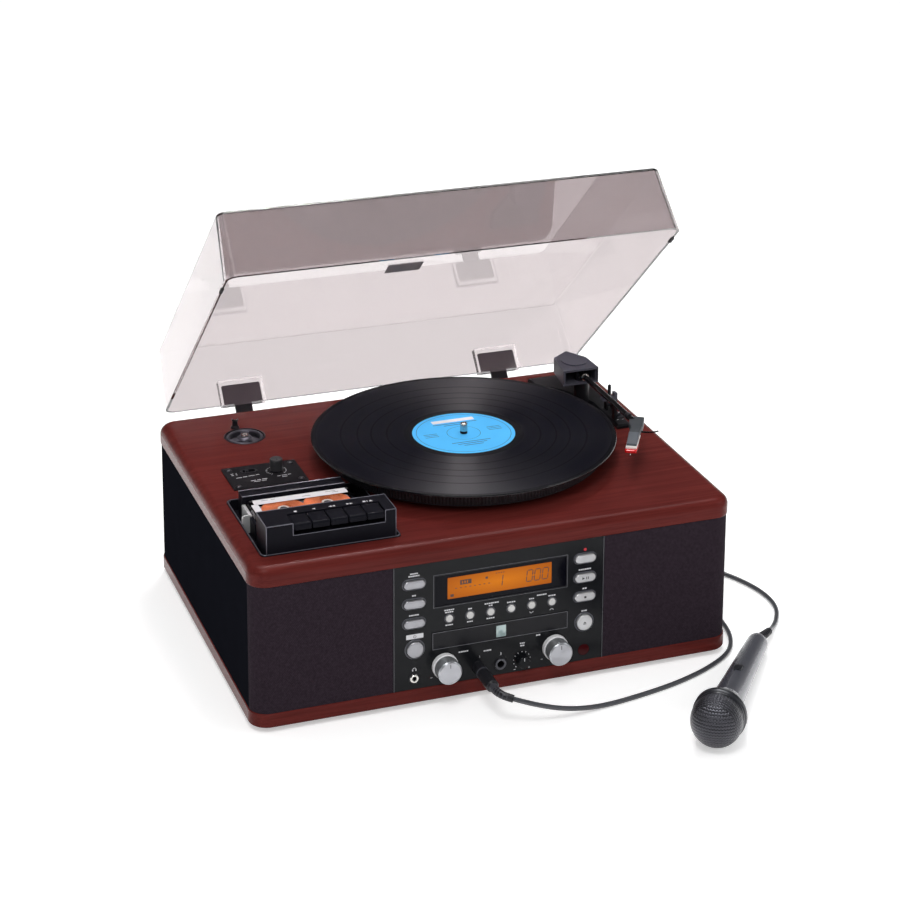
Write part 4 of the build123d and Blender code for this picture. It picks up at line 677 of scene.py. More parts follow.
zero, one = range(6), (1, 2)
lcd = shifted(seven(zero), [(29.2, 114.2), (37.0, 114.2), (44.8, 114.2)])
lcd += shifted(seven(one), [(-0.4, 114.0)])
lcd += [disc(0.5, (33.1, 112.4), 8), disc(0.5, (33.4, 116.2), 8)]
lcd += [rounded(11.2, 4.6, 0.4, (-33.6, 118.3), 3), rounded(3.4, 2.6, 0.3, (-46.9, 106.6), 3),
        rounded(2.4, 2.2, 0.3, (-13.2, 119.0), 3)]
lcd += [rounded(1.8, 0.7, 0.1, (x, 113.2), 2) for x in np.arange(-43.0, -9.0, 4.6)]
lcd += [rounded(1.6, 0.6, 0.1, (x, 122.0), 2) for x in (-3.6, -1.2, 1.2, 3.6)]
crystal_ink = moulded("dark_crystal", shade(70, 34, 6), 0.4, 0.05)
plates("display_segments", lcd, ((0, window_y - 0.07, 0), *facing), 0.02, crystal_ink, "cabinet")
plates("display_icon_cuts", [rounded(1.0, 2.4, 0.1, (x, 118.3), 2) for x in (-36.8, -34.4, -32.0)],
       ((0, window_y - 0.09, 0), *facing), 0.02, amber_glow, "cabinet")
sensor_red = moulded("sensor_red", shade(58, 6, 10), 0.1, 0.05, 500.0, 0.000001,
                     {"Specular IOR Level": 0.1})
front_plate("remote_sensor", [disc(5.6, (84.6, 29.6), 40)], -0.29, 0.25, sensor_red, bevel=0.1)

# ------------------------------------------------------------------ knobs
# The two large knobs are turned aluminium: a pale flange, a finely ringed side, and a face whose
# turning marks throw a cone of light. The small one is black, in a ring of printed dots.
ringed_side = moulded("ringed_side", shade(188, 192, 196), 0.3, 0.06, 3000.0, 0.000004,
                      {"Metallic": 0.85})
pale_flange = moulded("pale_flange", shade(232, 232, 234), 0.35, 0.05, 3000.0, 0.000004)


def less_and_more(wide, x, z, apart):
    """A minus sign and a plus sign at equal distances from a middle."""
    signs_at = ((wide, 0.5, x - apart), (wide, 0.5, x + apart), (0.5, wide, x + apart))
    return [rounded(across, high, 0.05, (at, z), 2) for across, high, at in signs_at]


for name in ("record_level_knob", "volume_knob"):
    x, z = middle_of(name)
    base = (x, front_y - 0.5, z)
    rise = np.arange(5.2, 16.2, 0.22)
    side = [(11.5 - 0.13 * (step % 4 < 2), height) for step, height in enumerate(rise)]
    flange = [(0, 0), (12.2, 0), (12.2, 4.2), (11.7, 4.7), (11.2, 4.7), (11.2, 5.0), (0, 5.0)]
    turned(f"{name}_flange", flange, base, forward, pale_flange, name, 96)
    body = turned(f"{name}_skirt", [(0, 4.9), (11.3, 5.0), *side, (11.5, 16.3), (10.9, 16.9),
                                    (10.6, 16.9), (0, 16.9)], base, forward, ringed_side, name, 96)
    turned_face, tree, metal = new_finish(f"{name}_turned_face",
                                          {"Base Color": shade(160, 161, 166), "Metallic": 1.0,
                                           "Anisotropic": 0.92})
    place = node(tree, "TexCoord").outputs["Object"]
    off = node(tree, "Mapping", {"Vector": place, "Location": (-x / 1000, 0.0, -z / 1000),
                                 "Scale": (1.0, 0.0, 1.0)})
    streak = noise(tree, place, 2600.0, 1.0)
    feed(tree, metal, {"Tangent": vector_math(tree, "NORMALIZE", off.outputs[0]),
                       "Roughness": ranged(tree, streak, (0.0, 1.0), (0.24, 0.4))})
    turned(f"{name}_face", [(0, 16.8), (10.75, 16.8), (10.75, 17.1), (10.3, 17.5), (9.8, 17.5),
                            (0, 17.45)], base, forward, turned_face, name, 96)
    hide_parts(name)
    tick = [rounded(0.7, 4.0, 0.3, (x, z + 7.2))]
    plates(f"{name}_tick", tick, ((0, front_y - 18.0, 0), *facing), 0.03, black_ink_and_shade, name)
    front_plate(f"{name}_marks", less_and_more(1.9, x, z - 11.0, 12.5), 0, 0.03, white_ink)

x, z = middle_of("mic_level_knob")
dress(gloss_black, "mic_level_knob")
front_plate("mic_level_dots", [disc(0.45, (x, z) + 8.4 * np.array([np.cos(a), np.sin(a)]), 10)
                               for a in np.radians(np.arange(-45, 226, 27))], 0, 0.03, white_ink)
front_plate("mic_level_marks", less_and_more(1.8, x, z - 8.6, 7.2), 0, 0.03, white_ink)
plates("mic_level_tick", [rounded(0.6, 3.4, 0.2, (x, z + 3.4))],
       ((0, span("mic_level_knob")[0][1], 0), *facing), 0.03, white_ink, "mic_level_knob")

# ------------------------------------------------------------------ sockets and tray
# Two 6.3 mm microphone sockets and a 3.5 mm one for headphones, each with a nickelled ring and a black
# throat. The tray's front is gloss black with a bare silver sticker.
dress(satin_black, "jacks")
socket_z = 30.0
for name, x, inside, outside in (("microphone_1", -21.0, 3.45, 5.4), ("microphone_2", 0.8, 3.45, 5.4),
                                 ("headphone", -83.7, 2.0, 4.2)):
    ring = [(inside, 0), (outside, 0), (outside, 0.5), (outside - 0.5, 1.0), (inside + 0.5, 1.0),
            (inside, 0.6), (inside, 0)]
    low = 1.2 if outside > 5 else 0.8
    turned(f"{name}_socket_ring", ring, (x, front_y - low - 0.02, socket_z), forward,
           socket_nickel if name == "headphone" else rim_grey, "cabinet", 48)
    turned(f"{name}_socket_nut", [(outside + 0.1, 0), (outside + 1.2, 0), (outside + 0.9, 0.5),
                                  (outside + 0.1, 0.5), (outside + 0.1, 0)], (x, front_y, socket_z),
           forward, satin_black, "cabinet", 48)
digit_one = [(-0.5, 0.5), (0.1, 1.1), (0.1, -1.1)]
digit_two = [*arc(0.65, 160, -40, (0, 0.5), 9), (-0.65, -1.1), (0.7, -1.1)]
socket_signs = shifted(ribbons([digit_one], 0.36), [(-19.6, 40.6)])
socket_signs += shifted(ribbons([digit_two], 0.36), [(1.2, 39.8)])
headset = ribbons([arc(1.7, 0, 180)], 0.4)
headset += [rounded(0.9, 1.8, 0.3, (side * 1.6, -0.6), 3) for side in (-1, 1)]
socket_signs += shifted(headset, [(-83.4, 38.6)])
front_plate("socket_signs", socket_signs, 0, 0.03, white_ink)
tray_black = moulded("tray_black", shade(22, 22, 26), 0.22, 0.06, 900.0, 0.000002,
                     {"Specular IOR Level": 0.14})
dress(tray_black, "disc_tray")
foil, tree, leaf = new_finish("silver_sticker", {"Metallic": 0.8, "Roughness": 0.3})
place = node(tree, "TexCoord").outputs["Object"]
rainbow = noise(tree, place, 160.0, 1.0)
feed(tree, leaf, {"Base Color": ramp(tree, rainbow, shade(112, 128, 128), shade(156, 170, 170),
                                     (0.35, 0.65))})
tray_low, tray_high = span("disc_tray")
# The tray's light grey outline is a painted highlight on the edge of its front.
plates("tray_outline", outline(tray_low[::2] + 0.5, tray_high[::2] - 0.5, 0.5),
       ((0, tray_low[1], 0), *facing), 0.06, painted_outline_highlight, "disc_tray")
plates("tray_sticker", [rounded(9.6, 11.4, 0.6, (1.2, 63.4))], ((0, tray_low[1], 0), *facing), 0.08,
       foil, "disc_tray")

# ------------------------------------------------------------------ platter, mat and belt
# A moulded platter with a finely ribbed rim, driven by a flat rubber belt that runs round a ring under
# it and the motor's pulley. The mat on it is rubber, and the pulley is brass on a steel motor.
def plan_middle(name):
    """Middle of a node seen from above, as x and y."""
    low, high = span(name)
    return (low[:2] + high[:2]) / 2


def laid(outline, z):
    """An outline of x and y, laid at a height."""
    return np.column_stack([outline, np.full(len(outline), z)])


def flat_plate(name, outlines, z, thick, finish, body="cabinet", bevel=0.0):
    """Plates that lie flat at a height."""
    return plates(name, outlines, ((0, 0, z), (1, 0, 0), (0, 1, 0)), thick, finish, body, bevel)


label_z = span("record")[1][2]
platter_x, platter_y = plan_middle("record")
platter_low, platter_high = span("platter_rings")
platter_r = (platter_high[0] - platter_low[0]) / 2
charcoal = moulded("charcoal_moulding", shade(26, 26, 31), 0.42, 0.08, 2500.0, 0.00001,
                   {"Specular IOR Level": 0.2})
dress(satin_black, "platter", "platter_rings")
dress(moulded("turned_brass", shade(196, 150, 74), 0.25, 0.15, 3000.0, 0.000004, {"Metallic": 1.0}),
      "motor_pulley")
dress(moulded("zinc_steel", shade(168, 168, 170), 0.3, 0.15, 3000.0, 0.000006, {"Metallic": 1.0}),
      "platter_drive")
ribs = 260
angle = np.linspace(0, 2 * np.pi, ribs * 6, endpoint=False)
steps = [(0.02, 0.2, 0), (0.3, 0.2, 0), (0.3, 1.4, 0), (0.36, 1.6, 0.9), (0.36, 9.6, 0.9),
         (0.3, 9.8, 0), (0.3, 12.2, 0), (0.02, 12.5, 0)]
circle = np.stack([np.cos(angle), np.sin(angle)], 1)
rings = []
for out, height, rib in steps:
    radius = platter_r + out + rib * 0.5 * (1 + np.cos(ribs * angle))
    rings.append(laid((platter_x, platter_y) + radius[:, None] * circle, platter_low[2] + height))
rib_black = moulded("rib_black", shade(34, 34, 38), 0.25, 0.08, 2500.0, 0.000006,
                    {"Specular IOR Level": 0.5})
hoop("platter_ribs", rings, rib_black, "platter")

motor_low, motor_high = span("motor_pulley")
motor_x, motor_y = plan_middle("motor_pulley")
belt_ring_r, pulley_r = 62.0, (motor_high[0] - motor_low[0]) / 2
reach = np.array([motor_x - platter_x, motor_y - platter_y])
belt_turn = np.arctan2(reach[1], reach[0])
lean = np.arccos((belt_ring_r - pulley_r) / np.linalg.norm(reach))


def belt_line(out):
    """The belt's loop: an arc round the ring's far side and an arc round the pulley, joined by their
    tangents."""
    far = arc(belt_ring_r + 0.3 + out, np.degrees(belt_turn + lean), 360 + np.degrees(belt_turn - lean),
              (platter_x, platter_y), 72)
    near = arc(pulley_r + out, np.degrees(belt_turn - lean), np.degrees(belt_turn + lean),
               (motor_x, motor_y), 16)
    return np.concatenate([far, near])


belt_low = platter_low[2] + 2.0
steps = ((0.05, 0), (0.75, 0), (0.75, 4.0), (0.05, 4.0))
hoop("drive_belt", [laid(belt_line(out), belt_low + height) for out, height in steps], rubber_black_and_shade,
     "cabinet")

# ------------------------------------------------------------------ record
# A pressed vinyl record: a thick smooth rim, five bands of fine grooves with plain rings between them,
# and a sky blue paper label. Its grooves stretch each highlight across them.
vinyl, tree, groove = new_finish("grooved_vinyl", {"Specular IOR Level": 0.26, "Anisotropic": 0.95})
place = node(tree, "TexCoord").outputs["Object"]
centred = node(tree, "Mapping", {"Vector": place, "Location": (-platter_x, -platter_y, 0.0),
                                 "Scale": (1000.0, 1000.0, 0.0)}).outputs[0]
radius = vector_math(tree, "LENGTH", centred)


def ring_mask(tree, radius, low, high, soft=0.25):
    """One between two radii in millimetres and nought outside them, with soft edges."""
    rise = ranged(tree, radius, (low - soft, low + soft))
    fall = ranged(tree, radius, (high - soft, high + soft), (1.0, 0.0))
    return math(tree, "MULTIPLY", rise, fall)


bands = (58.5, 76.0, 91.5, 105.0, 121.5, 146.5)
cut = None
for low, high in zip(bands, bands[1:]):
    band = ring_mask(tree, radius, low + 0.7, high - 0.7)
    cut = band if cut is None else math(tree, "MAXIMUM", cut, band)
line = node(tree, "CombineXYZ", {0: radius}).outputs[0]
music = noise(tree, line, 1.1, 5.0, Roughness=0.8)
tone = ramp(tree, music, shade(4, 4, 12), shade(14, 15, 27), (0.35, 0.68))
gloss = ranged(tree, music, (0.3, 0.7), (0.4, 0.52))
spiral = math(tree, "SINE", math(tree, "MULTIPLY", radius, 9.0))
carved = math(tree, "MULTIPLY", spiral, cut)
feed(tree, groove, {"Base Color": mixed(tree, "MIX", cut, shade(5, 5, 11), tone),
                    "Roughness": mixed(tree, "MIX", cut, (0.75, 0.75, 0.75, 1), gloss),
                    "Tangent": vector_math(tree, "NORMALIZE", centred),
                    "Normal": bump(tree, carved, 0.35, 0.00003)})
dress(vinyl, "record")
rules = [rounded(wide, 1.1, 0.2, (platter_x, platter_y + y), 2) for wide, y in
         ((46, 26), (26, 22), (40, -22), (30, -26), (20, -30))]
rules += [rounded(14, 0.9, 0.2, (platter_x + x, platter_y + y), 2) for x in (-33, 33)
          for y in (6, 2.5, -1)]
label_ink = moulded("label_ink", shade(28, 58, 92), 0.6, 0.1)
label_blue = moulded("label_blue", shade(84, 184, 244), 0.6, 0.04, 300.0, 0.00001,
                     {"Specular IOR Level": 0.03})
turned("label_paper", [(3.7, 0.0), (50.6, 0.0), (50.9, 0.05), (50.6, 0.1), (3.7, 0.1), (3.7, 0.0)],
       (platter_x, platter_y, label_z - 0.04), skyward, label_blue, "record", 120)
print_z = label_z + 0.06
for name, inside, outside in (("outer", 46.6, 47.1), ("inner", 16.4, 16.8)):
    turned(f"label_ring_{name}", [(inside, -0.02), (outside, -0.02), (outside, 0.02), (inside, 0.02),
                                  (inside, -0.02)],
           (platter_x, platter_y, print_z), skyward, label_ink, "record", 120)
flat_plate("label_title", [rounded(44, 7.0, 0.6, (platter_x, platter_y + 33), 3)], print_z, 0.03,
           white_ink, "record")
flat_plate("label_rules", rules, print_z, 0.03, label_ink, "record")
record_rim = moulded("vinyl_rim", shade(12, 12, 18), 0.14, 0.05, 900.0, 0.000002,
                     {"Specular IOR Level": 0.6})
turned("record_edge_bead", [(149.9, -1.75), (150.5, -1.7), (150.85, -1.2), (150.85, -0.6),
                            (150.5, -0.06), (149.9, 0.03), (149.9, -1.75)],
       (platter_x, platter_y, label_z), skyward, record_rim, "record", 180)
turned("label_eyelet", [(3.66, 0), (4.6, 0), (4.6, 0.05), (3.66, 0.05), (3.66, 0)],
       (platter_x, platter_y, label_z), skyward, moulded("eyelet_white", shade(220, 220, 220), 0.4),
       "record")
turned("spindle_sleeve", [(0, 2.6), (3.62, 2.6), (3.62, 9.2), (3.3, 10.4), (2.4, 11.0), (0, 11.1)],
       (platter_x, platter_y, label_z), skyward, socket_nickel, "platter", 40)

# ------------------------------------------------------------------ tonearm
# A straight black tube in a gimbal under a two-lobed cover, with a slate headshell turned in at its
# end, a finger lift, and a white and red cartridge. The base strip carries the rest, the cue lever and
# the speed switch.
pivot_x, pivot_y = plan_middle("arm_pivot")
arm_z = label_z + 11.5
cover, tree, hood = new_finish("arm_cover", {"Roughness": 0.36, "Specular IOR Level": 0.12})
place = node(tree, "TexCoord").outputs["Object"]
height = node(tree, "SeparateXYZ", {0: place}).outputs[2]
cover_seam = (0.1862, 0.1866)
upper = ranged(tree, height, cover_seam)
skin = node(tree, "Group", {"Drift": 0.1, "Grain": 2500.0, "Depth": 0.00001,
                            "Colour": mixed(tree, "MIX", upper, shade(22, 22, 25), shade(76, 76, 86))},
            node_tree=surface_drift).outputs
feed(tree, hood, {"Base Color": skin["Colour"], "Normal": skin["Normal"]})
dress(cover, "arm_base")
dress(satin_black, "arm_pivot", "cue_lever", "speed_switch")
black_tube = moulded("black_tube", shade(16, 16, 18), 0.18, 0.06, 2000.0, 0.000003,
                     {"Specular IOR Level": 0.4})
slate = moulded("slate_shell", shade(66, 70, 74), 0.4, 0.08, 2500.0, 0.00001,
                {"Specular IOR Level": 0.12})
# The headshell's nose is a lighter copy of the same slate: a painted highlight.
slate_painted_highlight = moulded("slate_nose_painted_highlight", shade(86, 92, 98), 0.38, 0.08, 2500.0, 0.00001,
                      {"Specular IOR Level": 0.12})
shell_turn = np.radians(31.0)
shell_at = np.array([pivot_x + 8.2, pivot_y - 128.6, arm_z])
along = np.array([-np.sin(shell_turn), -np.cos(shell_turn), 0.0])
beside = np.array([np.cos(shell_turn), -np.sin(shell_turn), 0.0])
upward = np.array([0.0, 0.0, 1.0])


def tube(name, line, radius, finish, body, sides=20):
    """A round tube along a line: each ring lies across the line's direction there, and both ends are
    closed."""
    line = np.asarray(line, float)
    run = np.gradient(line, axis=0)
    run /= np.linalg.norm(run, axis=1)[:, None]
    guide = np.eye(3)[np.argmin(abs(run).max(0))]
    first = np.cross(run, guide)
    first /= np.linalg.norm(first, axis=1)[:, None]
    second = np.cross(run, first)
    angle = np.linspace(0, 2 * np.pi, sides, endpoint=False)[:, None]
    radius = np.broadcast_to(radius, len(line))[:, None, None]
    rings = line[:, None] + radius * (np.cos(angle) * first[:, None] + np.sin(angle) * second[:, None])
    return skin_over(name, rings, finish, body)


def block(name, sections, frame_at, finish, body):
    """A body through rounded sections: each is (distance along, low, high, half width, corner radius,
    side shift)."""
    origin, run, across, lift = frame_at
    rings = []
    for distance, low, high, half, corner, shift in sections:
        outline = rounded(2 * half, high - low, corner, (shift, (high + low) / 2), 5)
        rings.append(origin + distance * run + outline[:, :1] * across + outline[:, 1:] * lift)
    return skin_over(name, rings, finish, body)


arm_end = pivot_y - 131.2
tube("arm_tube", [(pivot_x, y, arm_z) for y in np.linspace(pivot_y + 5, arm_end, 30)], 2.85, black_tube,
     "tonearm", 28)
shell_frame = (shell_at, along, beside, upward)
shell = block("headshell", [(-1, -4.5, 0.6, 6.6, 1.2, -2.2), (0, -5, 1.4, 7.4, 1.4, -2.2),
                            (16, -5, 1.6, 7.2, 1.4, -1.0), (22, -5, 1.6, 6.5, 1.2, -0.2),
                            (25, -5, 1.5, 5.2, 1.0, 0), (42, -5, 1.4, 4.9, 1.0, 0),
                            (42.6, -5, 1.2, 4.8, 0.9, 0)], shell_frame, slate, "tonearm")
block("headshell_nose", [(40.4, -5, 1.7, 5.1, 0.9, 0), (43, -5, 1.6, 5.1, 0.9, 0),
                         (56, -5, -1.9, 5.0, 0.9, 0), (59, -5, -2.7, 4.9, 0.8, 0),
                         (59.2, -4.8, -3.0, 4.7, 0.6, 0)], shell_frame, slate_painted_highlight, "tonearm")
white_shell = moulded("cartridge_white", shade(226, 224, 220), 0.3, 0.05)
red_shell = moulded("cartridge_red", shade(206, 22, 26), 0.22, 0.06, 2000.0, 0.000004,
                    {"Coat Weight": 0.4})
block("cartridge_body", [(30, -7.2, -4.9, 5.1, 0.5, 0), (61.8, -7.0, -4.9, 5.4, 0.6, 0),
                         (62.8, -6.8, -5.0, 5.0, 0.5, 0)], shell_frame, white_shell, "tonearm")
block("stylus_holder", [(48, -9.8, -6.9, 5.5, 0.7, 0), (60, -10.2, -6.7, 6.0, 0.8, 0),
                        (65.0, -10.1, -6.7, 5.6, 0.8, 0),
                        (66.4, -9.4, -7.2, 4.4, 0.4, 0)], shell_frame, red_shell, "tonearm")
tube("stylus_bar", [shell_at + 60 * along - 8.8 * upward, shell_at + 66 * along - 9.8 * upward,
                    shell_at + 69 * along - 10.9 * upward], (0.5, 0.45, 0.3), socket_nickel, "tonearm",
     12)
lift_run = np.array([11.5, -12.6, 2.0])
lift_run /= np.linalg.norm(lift_run)
lift_at = np.array([shell_at[0] - 9.8, shell_at[1] - 27.6, arm_z - 2.5])
tube("finger_lift", [lift_at + s * lift_run + (0, 0, 0.012 * (s - 4) ** 2 * (s > 4))
                     for s in np.linspace(0, 18, 14)], np.linspace(1.0, 0.7, 14), black_tube, "tonearm",
     14)
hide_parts("tonearm")
tube("gimbal_pin", [(pivot_x - 6.4, pivot_y, arm_z), (pivot_x, pivot_y, arm_z),
                    (pivot_x + 6.4, pivot_y, arm_z)], 1.0, socket_nickel, "tonearm", 16)
turned("gimbal_collar", [(0, 0), (3.9, 0), (4.1, 0.5), (4.1, 7.0), (3.7, 7.5), (2.8, 7.5), (0, 7.5)],
       (pivot_x, pivot_y - 3.2, arm_z), forward, socket_nickel, "tonearm", 32)
turned("arm_collar", [(0, 0), (3.3, 0), (3.5, 0.4), (3.5, 5.0), (3.1, 5.6), (0, 5.6)],
       (pivot_x, pivot_y - 118, arm_z), forward, satin_black, "tonearm", 32)

def swung(outline, angle, centre):
    """An outline turned about the origin by an angle and then moved to a centre."""
    turn = np.array([[np.cos(angle), np.sin(angle)], [-np.sin(angle), np.cos(angle)]])
    return outline @ turn + centre


speed_x, speed_y = plan_middle("speed_switch")
ring = [(5.6, 0), (7.2, 0), (7.2, 0.4), (6.7, 0.9), (5.9, 0.9), (5.6, 0.5), (5.6, 0)]
strip_z = label_z - 16.5
turned("speed_switch_ring", ring, (speed_x, speed_y, strip_z), skyward, charcoal, "cabinet", 48)
tip = span("speed_switch")[1][2]
bar = [swung(rounded(3.4, 0.7, 0.2, (2.6, 0), 3), np.radians(40), (speed_x, speed_y))]
flat_plate("speed_switch_tick", bar, tip, 0.04, white_ink, "speed_switch")
flat_plate("speed_marks", [rounded(2.2, 0.6, 0.1, (speed_x - 4.2, speed_y - 9.0), 2),
                           rounded(2.2, 0.6, 0.1, (speed_x + 1.2, speed_y - 9.6), 2)], strip_z, 0.03,
           white_ink, "cabinet")

# ------------------------------------------------------------------ 45 adapter
# A spoked metal adapter for records with a large hole, stored on a steel stub in a recess of the board.
# Behind it stands a short black post with a bright tip.
adapter_x, adapter_y = plan_middle("adapter_45")
adapter_metal = moulded("adapter_metal", shade(96, 95, 104), 0.32, 0.15, 2600.0, 0.000006,
                        {"Metallic": 0.8})
floor_z = span("adapter_45")[0][2]
wheel = [(18.9, 0.2), (18.9, 3.4), (18.5, 4.6), (17.9, 5.2), (16.2, 5.2), (15.2, 4.2), (14.8, 0.2),
         (18.9, 0.2)]
rim = turned("adapter_wheel", wheel, (adapter_x, adapter_y, floor_z), skyward, adapter_metal,
             "adapter_45", 72)
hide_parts("adapter_45")
turned("adapter_hub", [(3.7, 0.2), (8.4, 0.2), (7.8, 3.6), (6.6, 5.0), (4.4, 5.6), (3.7, 5.4),
                       (3.7, 0.2)], (adapter_x, adapter_y, floor_z), skyward, adapter_metal,
       "adapter_45", 56)
spokes = [swung(rounded(10.0, 8.6, 0.8, (10.8, 0), 4), start, (adapter_x, adapter_y))
          for start in np.radians((75, 195, 315))]
flat_plate("adapter_spokes", spokes, floor_z + 0.6, 3.2, adapter_metal, "adapter_45", bevel=0.6)
turned("recess_cup", [(0, 0.02), (0, 0.15), (19.4, 0.1), (19.4, 4.6), (19.9, 5.4), (20.6, 5.5),
                      (21.0, 5.15), (20.25, 5.1), (20.2, 0.1), (20.2, 0.02), (0, 0.02)],
       (adapter_x, adapter_y, floor_z), skyward, satin_black, "cabinet", 72)
turned("adapter_stub_cap", [(0, 5.0), (3.66, 5.0), (3.66, 6.9), (3.1, 7.55), (0, 7.55)],
       (adapter_x, adapter_y, floor_z), skyward, socket_nickel, "cabinet", 32)
post = (adapter_x - 3.4, adapter_y + 25.0, floor_z)
turned("rest_post", [(0, 5.0), (4.4, 5.0), (4.2, 6.2), (2.9, 7.6), (2.7, 12.6), (3.4, 13.4),
                     (3.4, 14.6), (0, 14.6)], post, skyward, satin_black, "cabinet", 32)
turned("rest_post_tip", [(0, 14.5), (2.9, 14.5), (2.7, 14.9), (0, 14.98)], post, skyward,
       socket_nickel, "cabinet", 32)

# ------------------------------------------------------------------ control plate
# A black steel plate with four crosshead screws, printed with a dial of white ticks round the pitch
# knob and short marks. The slide switch sits in an oval slot.
plate_black = moulded("plate_black", shade(27, 26, 29), 0.4, 0.08, 2200.0, 0.00001,
                      {"Specular IOR Level": 0.05})
dress(plate_black, "control_plate")
dress(satin_black, "select_switch")
dress(moulded("pitch_grey", shade(58, 58, 60), 0.36, 0.12, 2200.0, 0.00001), "pitch_knob")
plate_low, plate_high = span("control_plate")
plate_z = floor_z + 6.2
for number, (x, y) in enumerate([(x, y) for x in (plate_low[0] + 6, plate_high[0] - 6)
                                 for y in (plate_low[1] + 6, plate_high[1] - 6)]):
    turned(f"plate_screw_{number}", [(0, 0), (3.0, 0), (2.9, 0.5), (2.2, 1.0), (0, 1.15)],
           (x, y, plate_z), skyward, screw_steel, "cabinet", 32)
    # The cross slots are black plates on the heads: painted shade in the slots.
    cross = [rounded(3.0, 0.6, 0.1, (x, y), 2), rounded(0.6, 3.0, 0.1, (x, y), 2)]
    flat_plate(f"plate_screw_slot_painted_shade_{number}", cross, plate_z + 0.95, 0.2, black_ink_and_shade, "cabinet")
knob_x, knob_y = plan_middle("pitch_knob")
knurl = 48
angle = np.linspace(0, 2 * np.pi, knurl * 6, endpoint=False)
steps = [(6.25, 0.2, 0), (6.25, 1.0, 0), (6.1, 1.3, 1), (6.1, 10.6, 1), (6.1, 11.4, 0.4),
         (5.6, 12.2, 0), (5.5, 12.2, 0), (5.5, 1.0, 0)]
circle = np.stack([np.cos(angle), np.sin(angle)], 1)
rings = [laid((knob_x, knob_y) + (out + 0.14 * rib * np.cos(knurl * angle))[:, None] * circle,
              plate_z + height) for out, height, rib in steps]
hoop("pitch_knob_knurl", rings, satin_black, "pitch_knob")
ticks = []
for reading in np.linspace(-140, 140, 21):
    tick = rounded(1.9 if abs(reading) % 70 < 1 else 1.3, 0.55, 0.1, (9.6, 0), 2)
    ticks.append(swung(tick, np.radians(90 - reading), (knob_x, knob_y)))
plate_rows = [rounded(wide, 0.8, 0.1, (x, y), 2)
              for wide, x, y in ((2.4, -199.0, 24.6), (2.4, -199.0, 21.4), (1.4, -194.8, 24.0),
                                 (1.4, -194.8, 21.4), (5.6, -194.6, 14.0), (4.4, -188.4, 14.6),
                                 (6.2, -181.8, 15.2), (3.4, -175.8, 15.8), (5.2, -183.0, 3.4),
                                 (3.8, -177.4, 3.8), (5.4, -171.8, 4.2), (6.4, -180.0, 0.6),
                                 (4.6, -173.0, 1.0), (3.2, -157.0, 6.2), (5.2, -151.6, 6.6),
                                 (3.2, -146.4, 7.0), (5.0, -152.0, 3.2))]
flat_plate("control_plate_print", ticks + plate_rows, plate_z, 0.03, white_ink, "cabinet")
slot_x, slot_y = plan_middle("select_switch") + (2.0, 0)
outer = rounded(17.6, 9.6, 4.79, (slot_x, slot_y), 8)
inner = rounded(13.2, 6.1, 3.04, (slot_x, slot_y), 8)
steps = ((outer, 0.0), (outer * 0.8 + inner * 0.2, 0.55), (inner, 0.5), (inner, -0.6))
hoop("switch_surround", [laid(line, plate_z + out) for line, out in steps], satin_black, "cabinet")

# ------------------------------------------------------------------ cassette recorder
# A recorder in black moulding let into the board: a flange whose edge has a painted highlight, a steel
# bracket, a bar behind the cassette, and a raised block with five piano keys.
deck_black = moulded("deck_black", shade(22, 22, 28), 0.34, 0.08, 1500.0, 0.00001,
                     {"Specular IOR Level": 0.04})
# Light grey beads on the edges of the flange, the key block and the rear bar: a painted highlight.
painted_edge_highlight = moulded("painted_edge_highlight", shade(104, 104, 114), 0.3, 0.06, 2500.0, 0.000006,
                      {"Metallic": 0.5})
bracket_steel = moulded("bracket_steel", shade(206, 207, 208), 0.38, 0.12, 2500.0, 0.000006,
                        {"Metallic": 0.4})
dress(deck_black, "deck_frame")
deck_low, deck_high = span("deck_frame")
well_x, well_y = plan_middle("deck_frame")
key_low, key_high = span("tape_record_key")
last_high = span("tape_stop_eject_key")[1]
block_x0, block_x1 = deck_low[0] + 5.5, deck_low[0] + 127.5
block_y0, block_y1 = deck_low[1] + 2.5, deck_low[1] + 36.5
block_z = deck_high[2]
flange_z = floor_z + 5.8


def points_along(line, marks, at):
    """Points of a broken line at given measures along it, with a mark for each of its corners."""
    return np.stack([np.interp(at, marks, line[:, axis]) for axis in range(3)], 1)


def bead_along(name, line, radius, finish, body="cabinet"):
    """A fine round bead along a broken line, which stands for the rolled edge of a moulding and, in its
    light finish, the edge's painted highlight.
    """
    line = np.asarray(line, float)
    lengths = np.r_[0, np.cumsum(np.linalg.norm(np.diff(line, axis=0), axis=1))]
    at = np.unique(np.r_[lengths, np.arange(0, lengths[-1], 4.0)])
    return tube(name, points_along(line, lengths, at), radius, finish, body, 10)


rail = rounded(deck_high[0] - deck_low[0] - 1.2, deck_high[1] - deck_low[1] - 1.2, 4.6,
               (well_x, well_y), 8)
steps = ((1.0, -1.5), (1.0, 0.05), (0.996, 0.45), (0.988, 0.45), (0.984, 0.1), (0.984, -1.5))
hoop("deck_flange_edge", [laid((rail - (well_x, well_y)) * share + (well_x, well_y), flange_z + out)
                          for share, out in steps], painted_edge_highlight, "cabinet")
bead_along("key_block_edge", [(block_x0, block_y1, block_z), (block_x0, block_y0, block_z),
                              (key_low[0] - 1, block_y0, block_z)], 0.45, painted_edge_highlight)
bead_along("key_block_right_edge", [(last_high[0] + 1, block_y0, block_z),
                                    (block_x1, block_y0, block_z), (block_x1, block_y1, block_z),
                                    (block_x0, block_y1, block_z)], 0.45, painted_edge_highlight)
bead_along("key_block_corner_left", [(block_x0, block_y0, block_z), (block_x0, block_y0, flange_z)],
           0.4, painted_edge_highlight)
bead_along("key_block_corner_right", [(block_x1, block_y0, block_z), (block_x1, block_y0, flange_z)],
           0.4, painted_edge_highlight)
slot_z = key_low[2] - 5.0
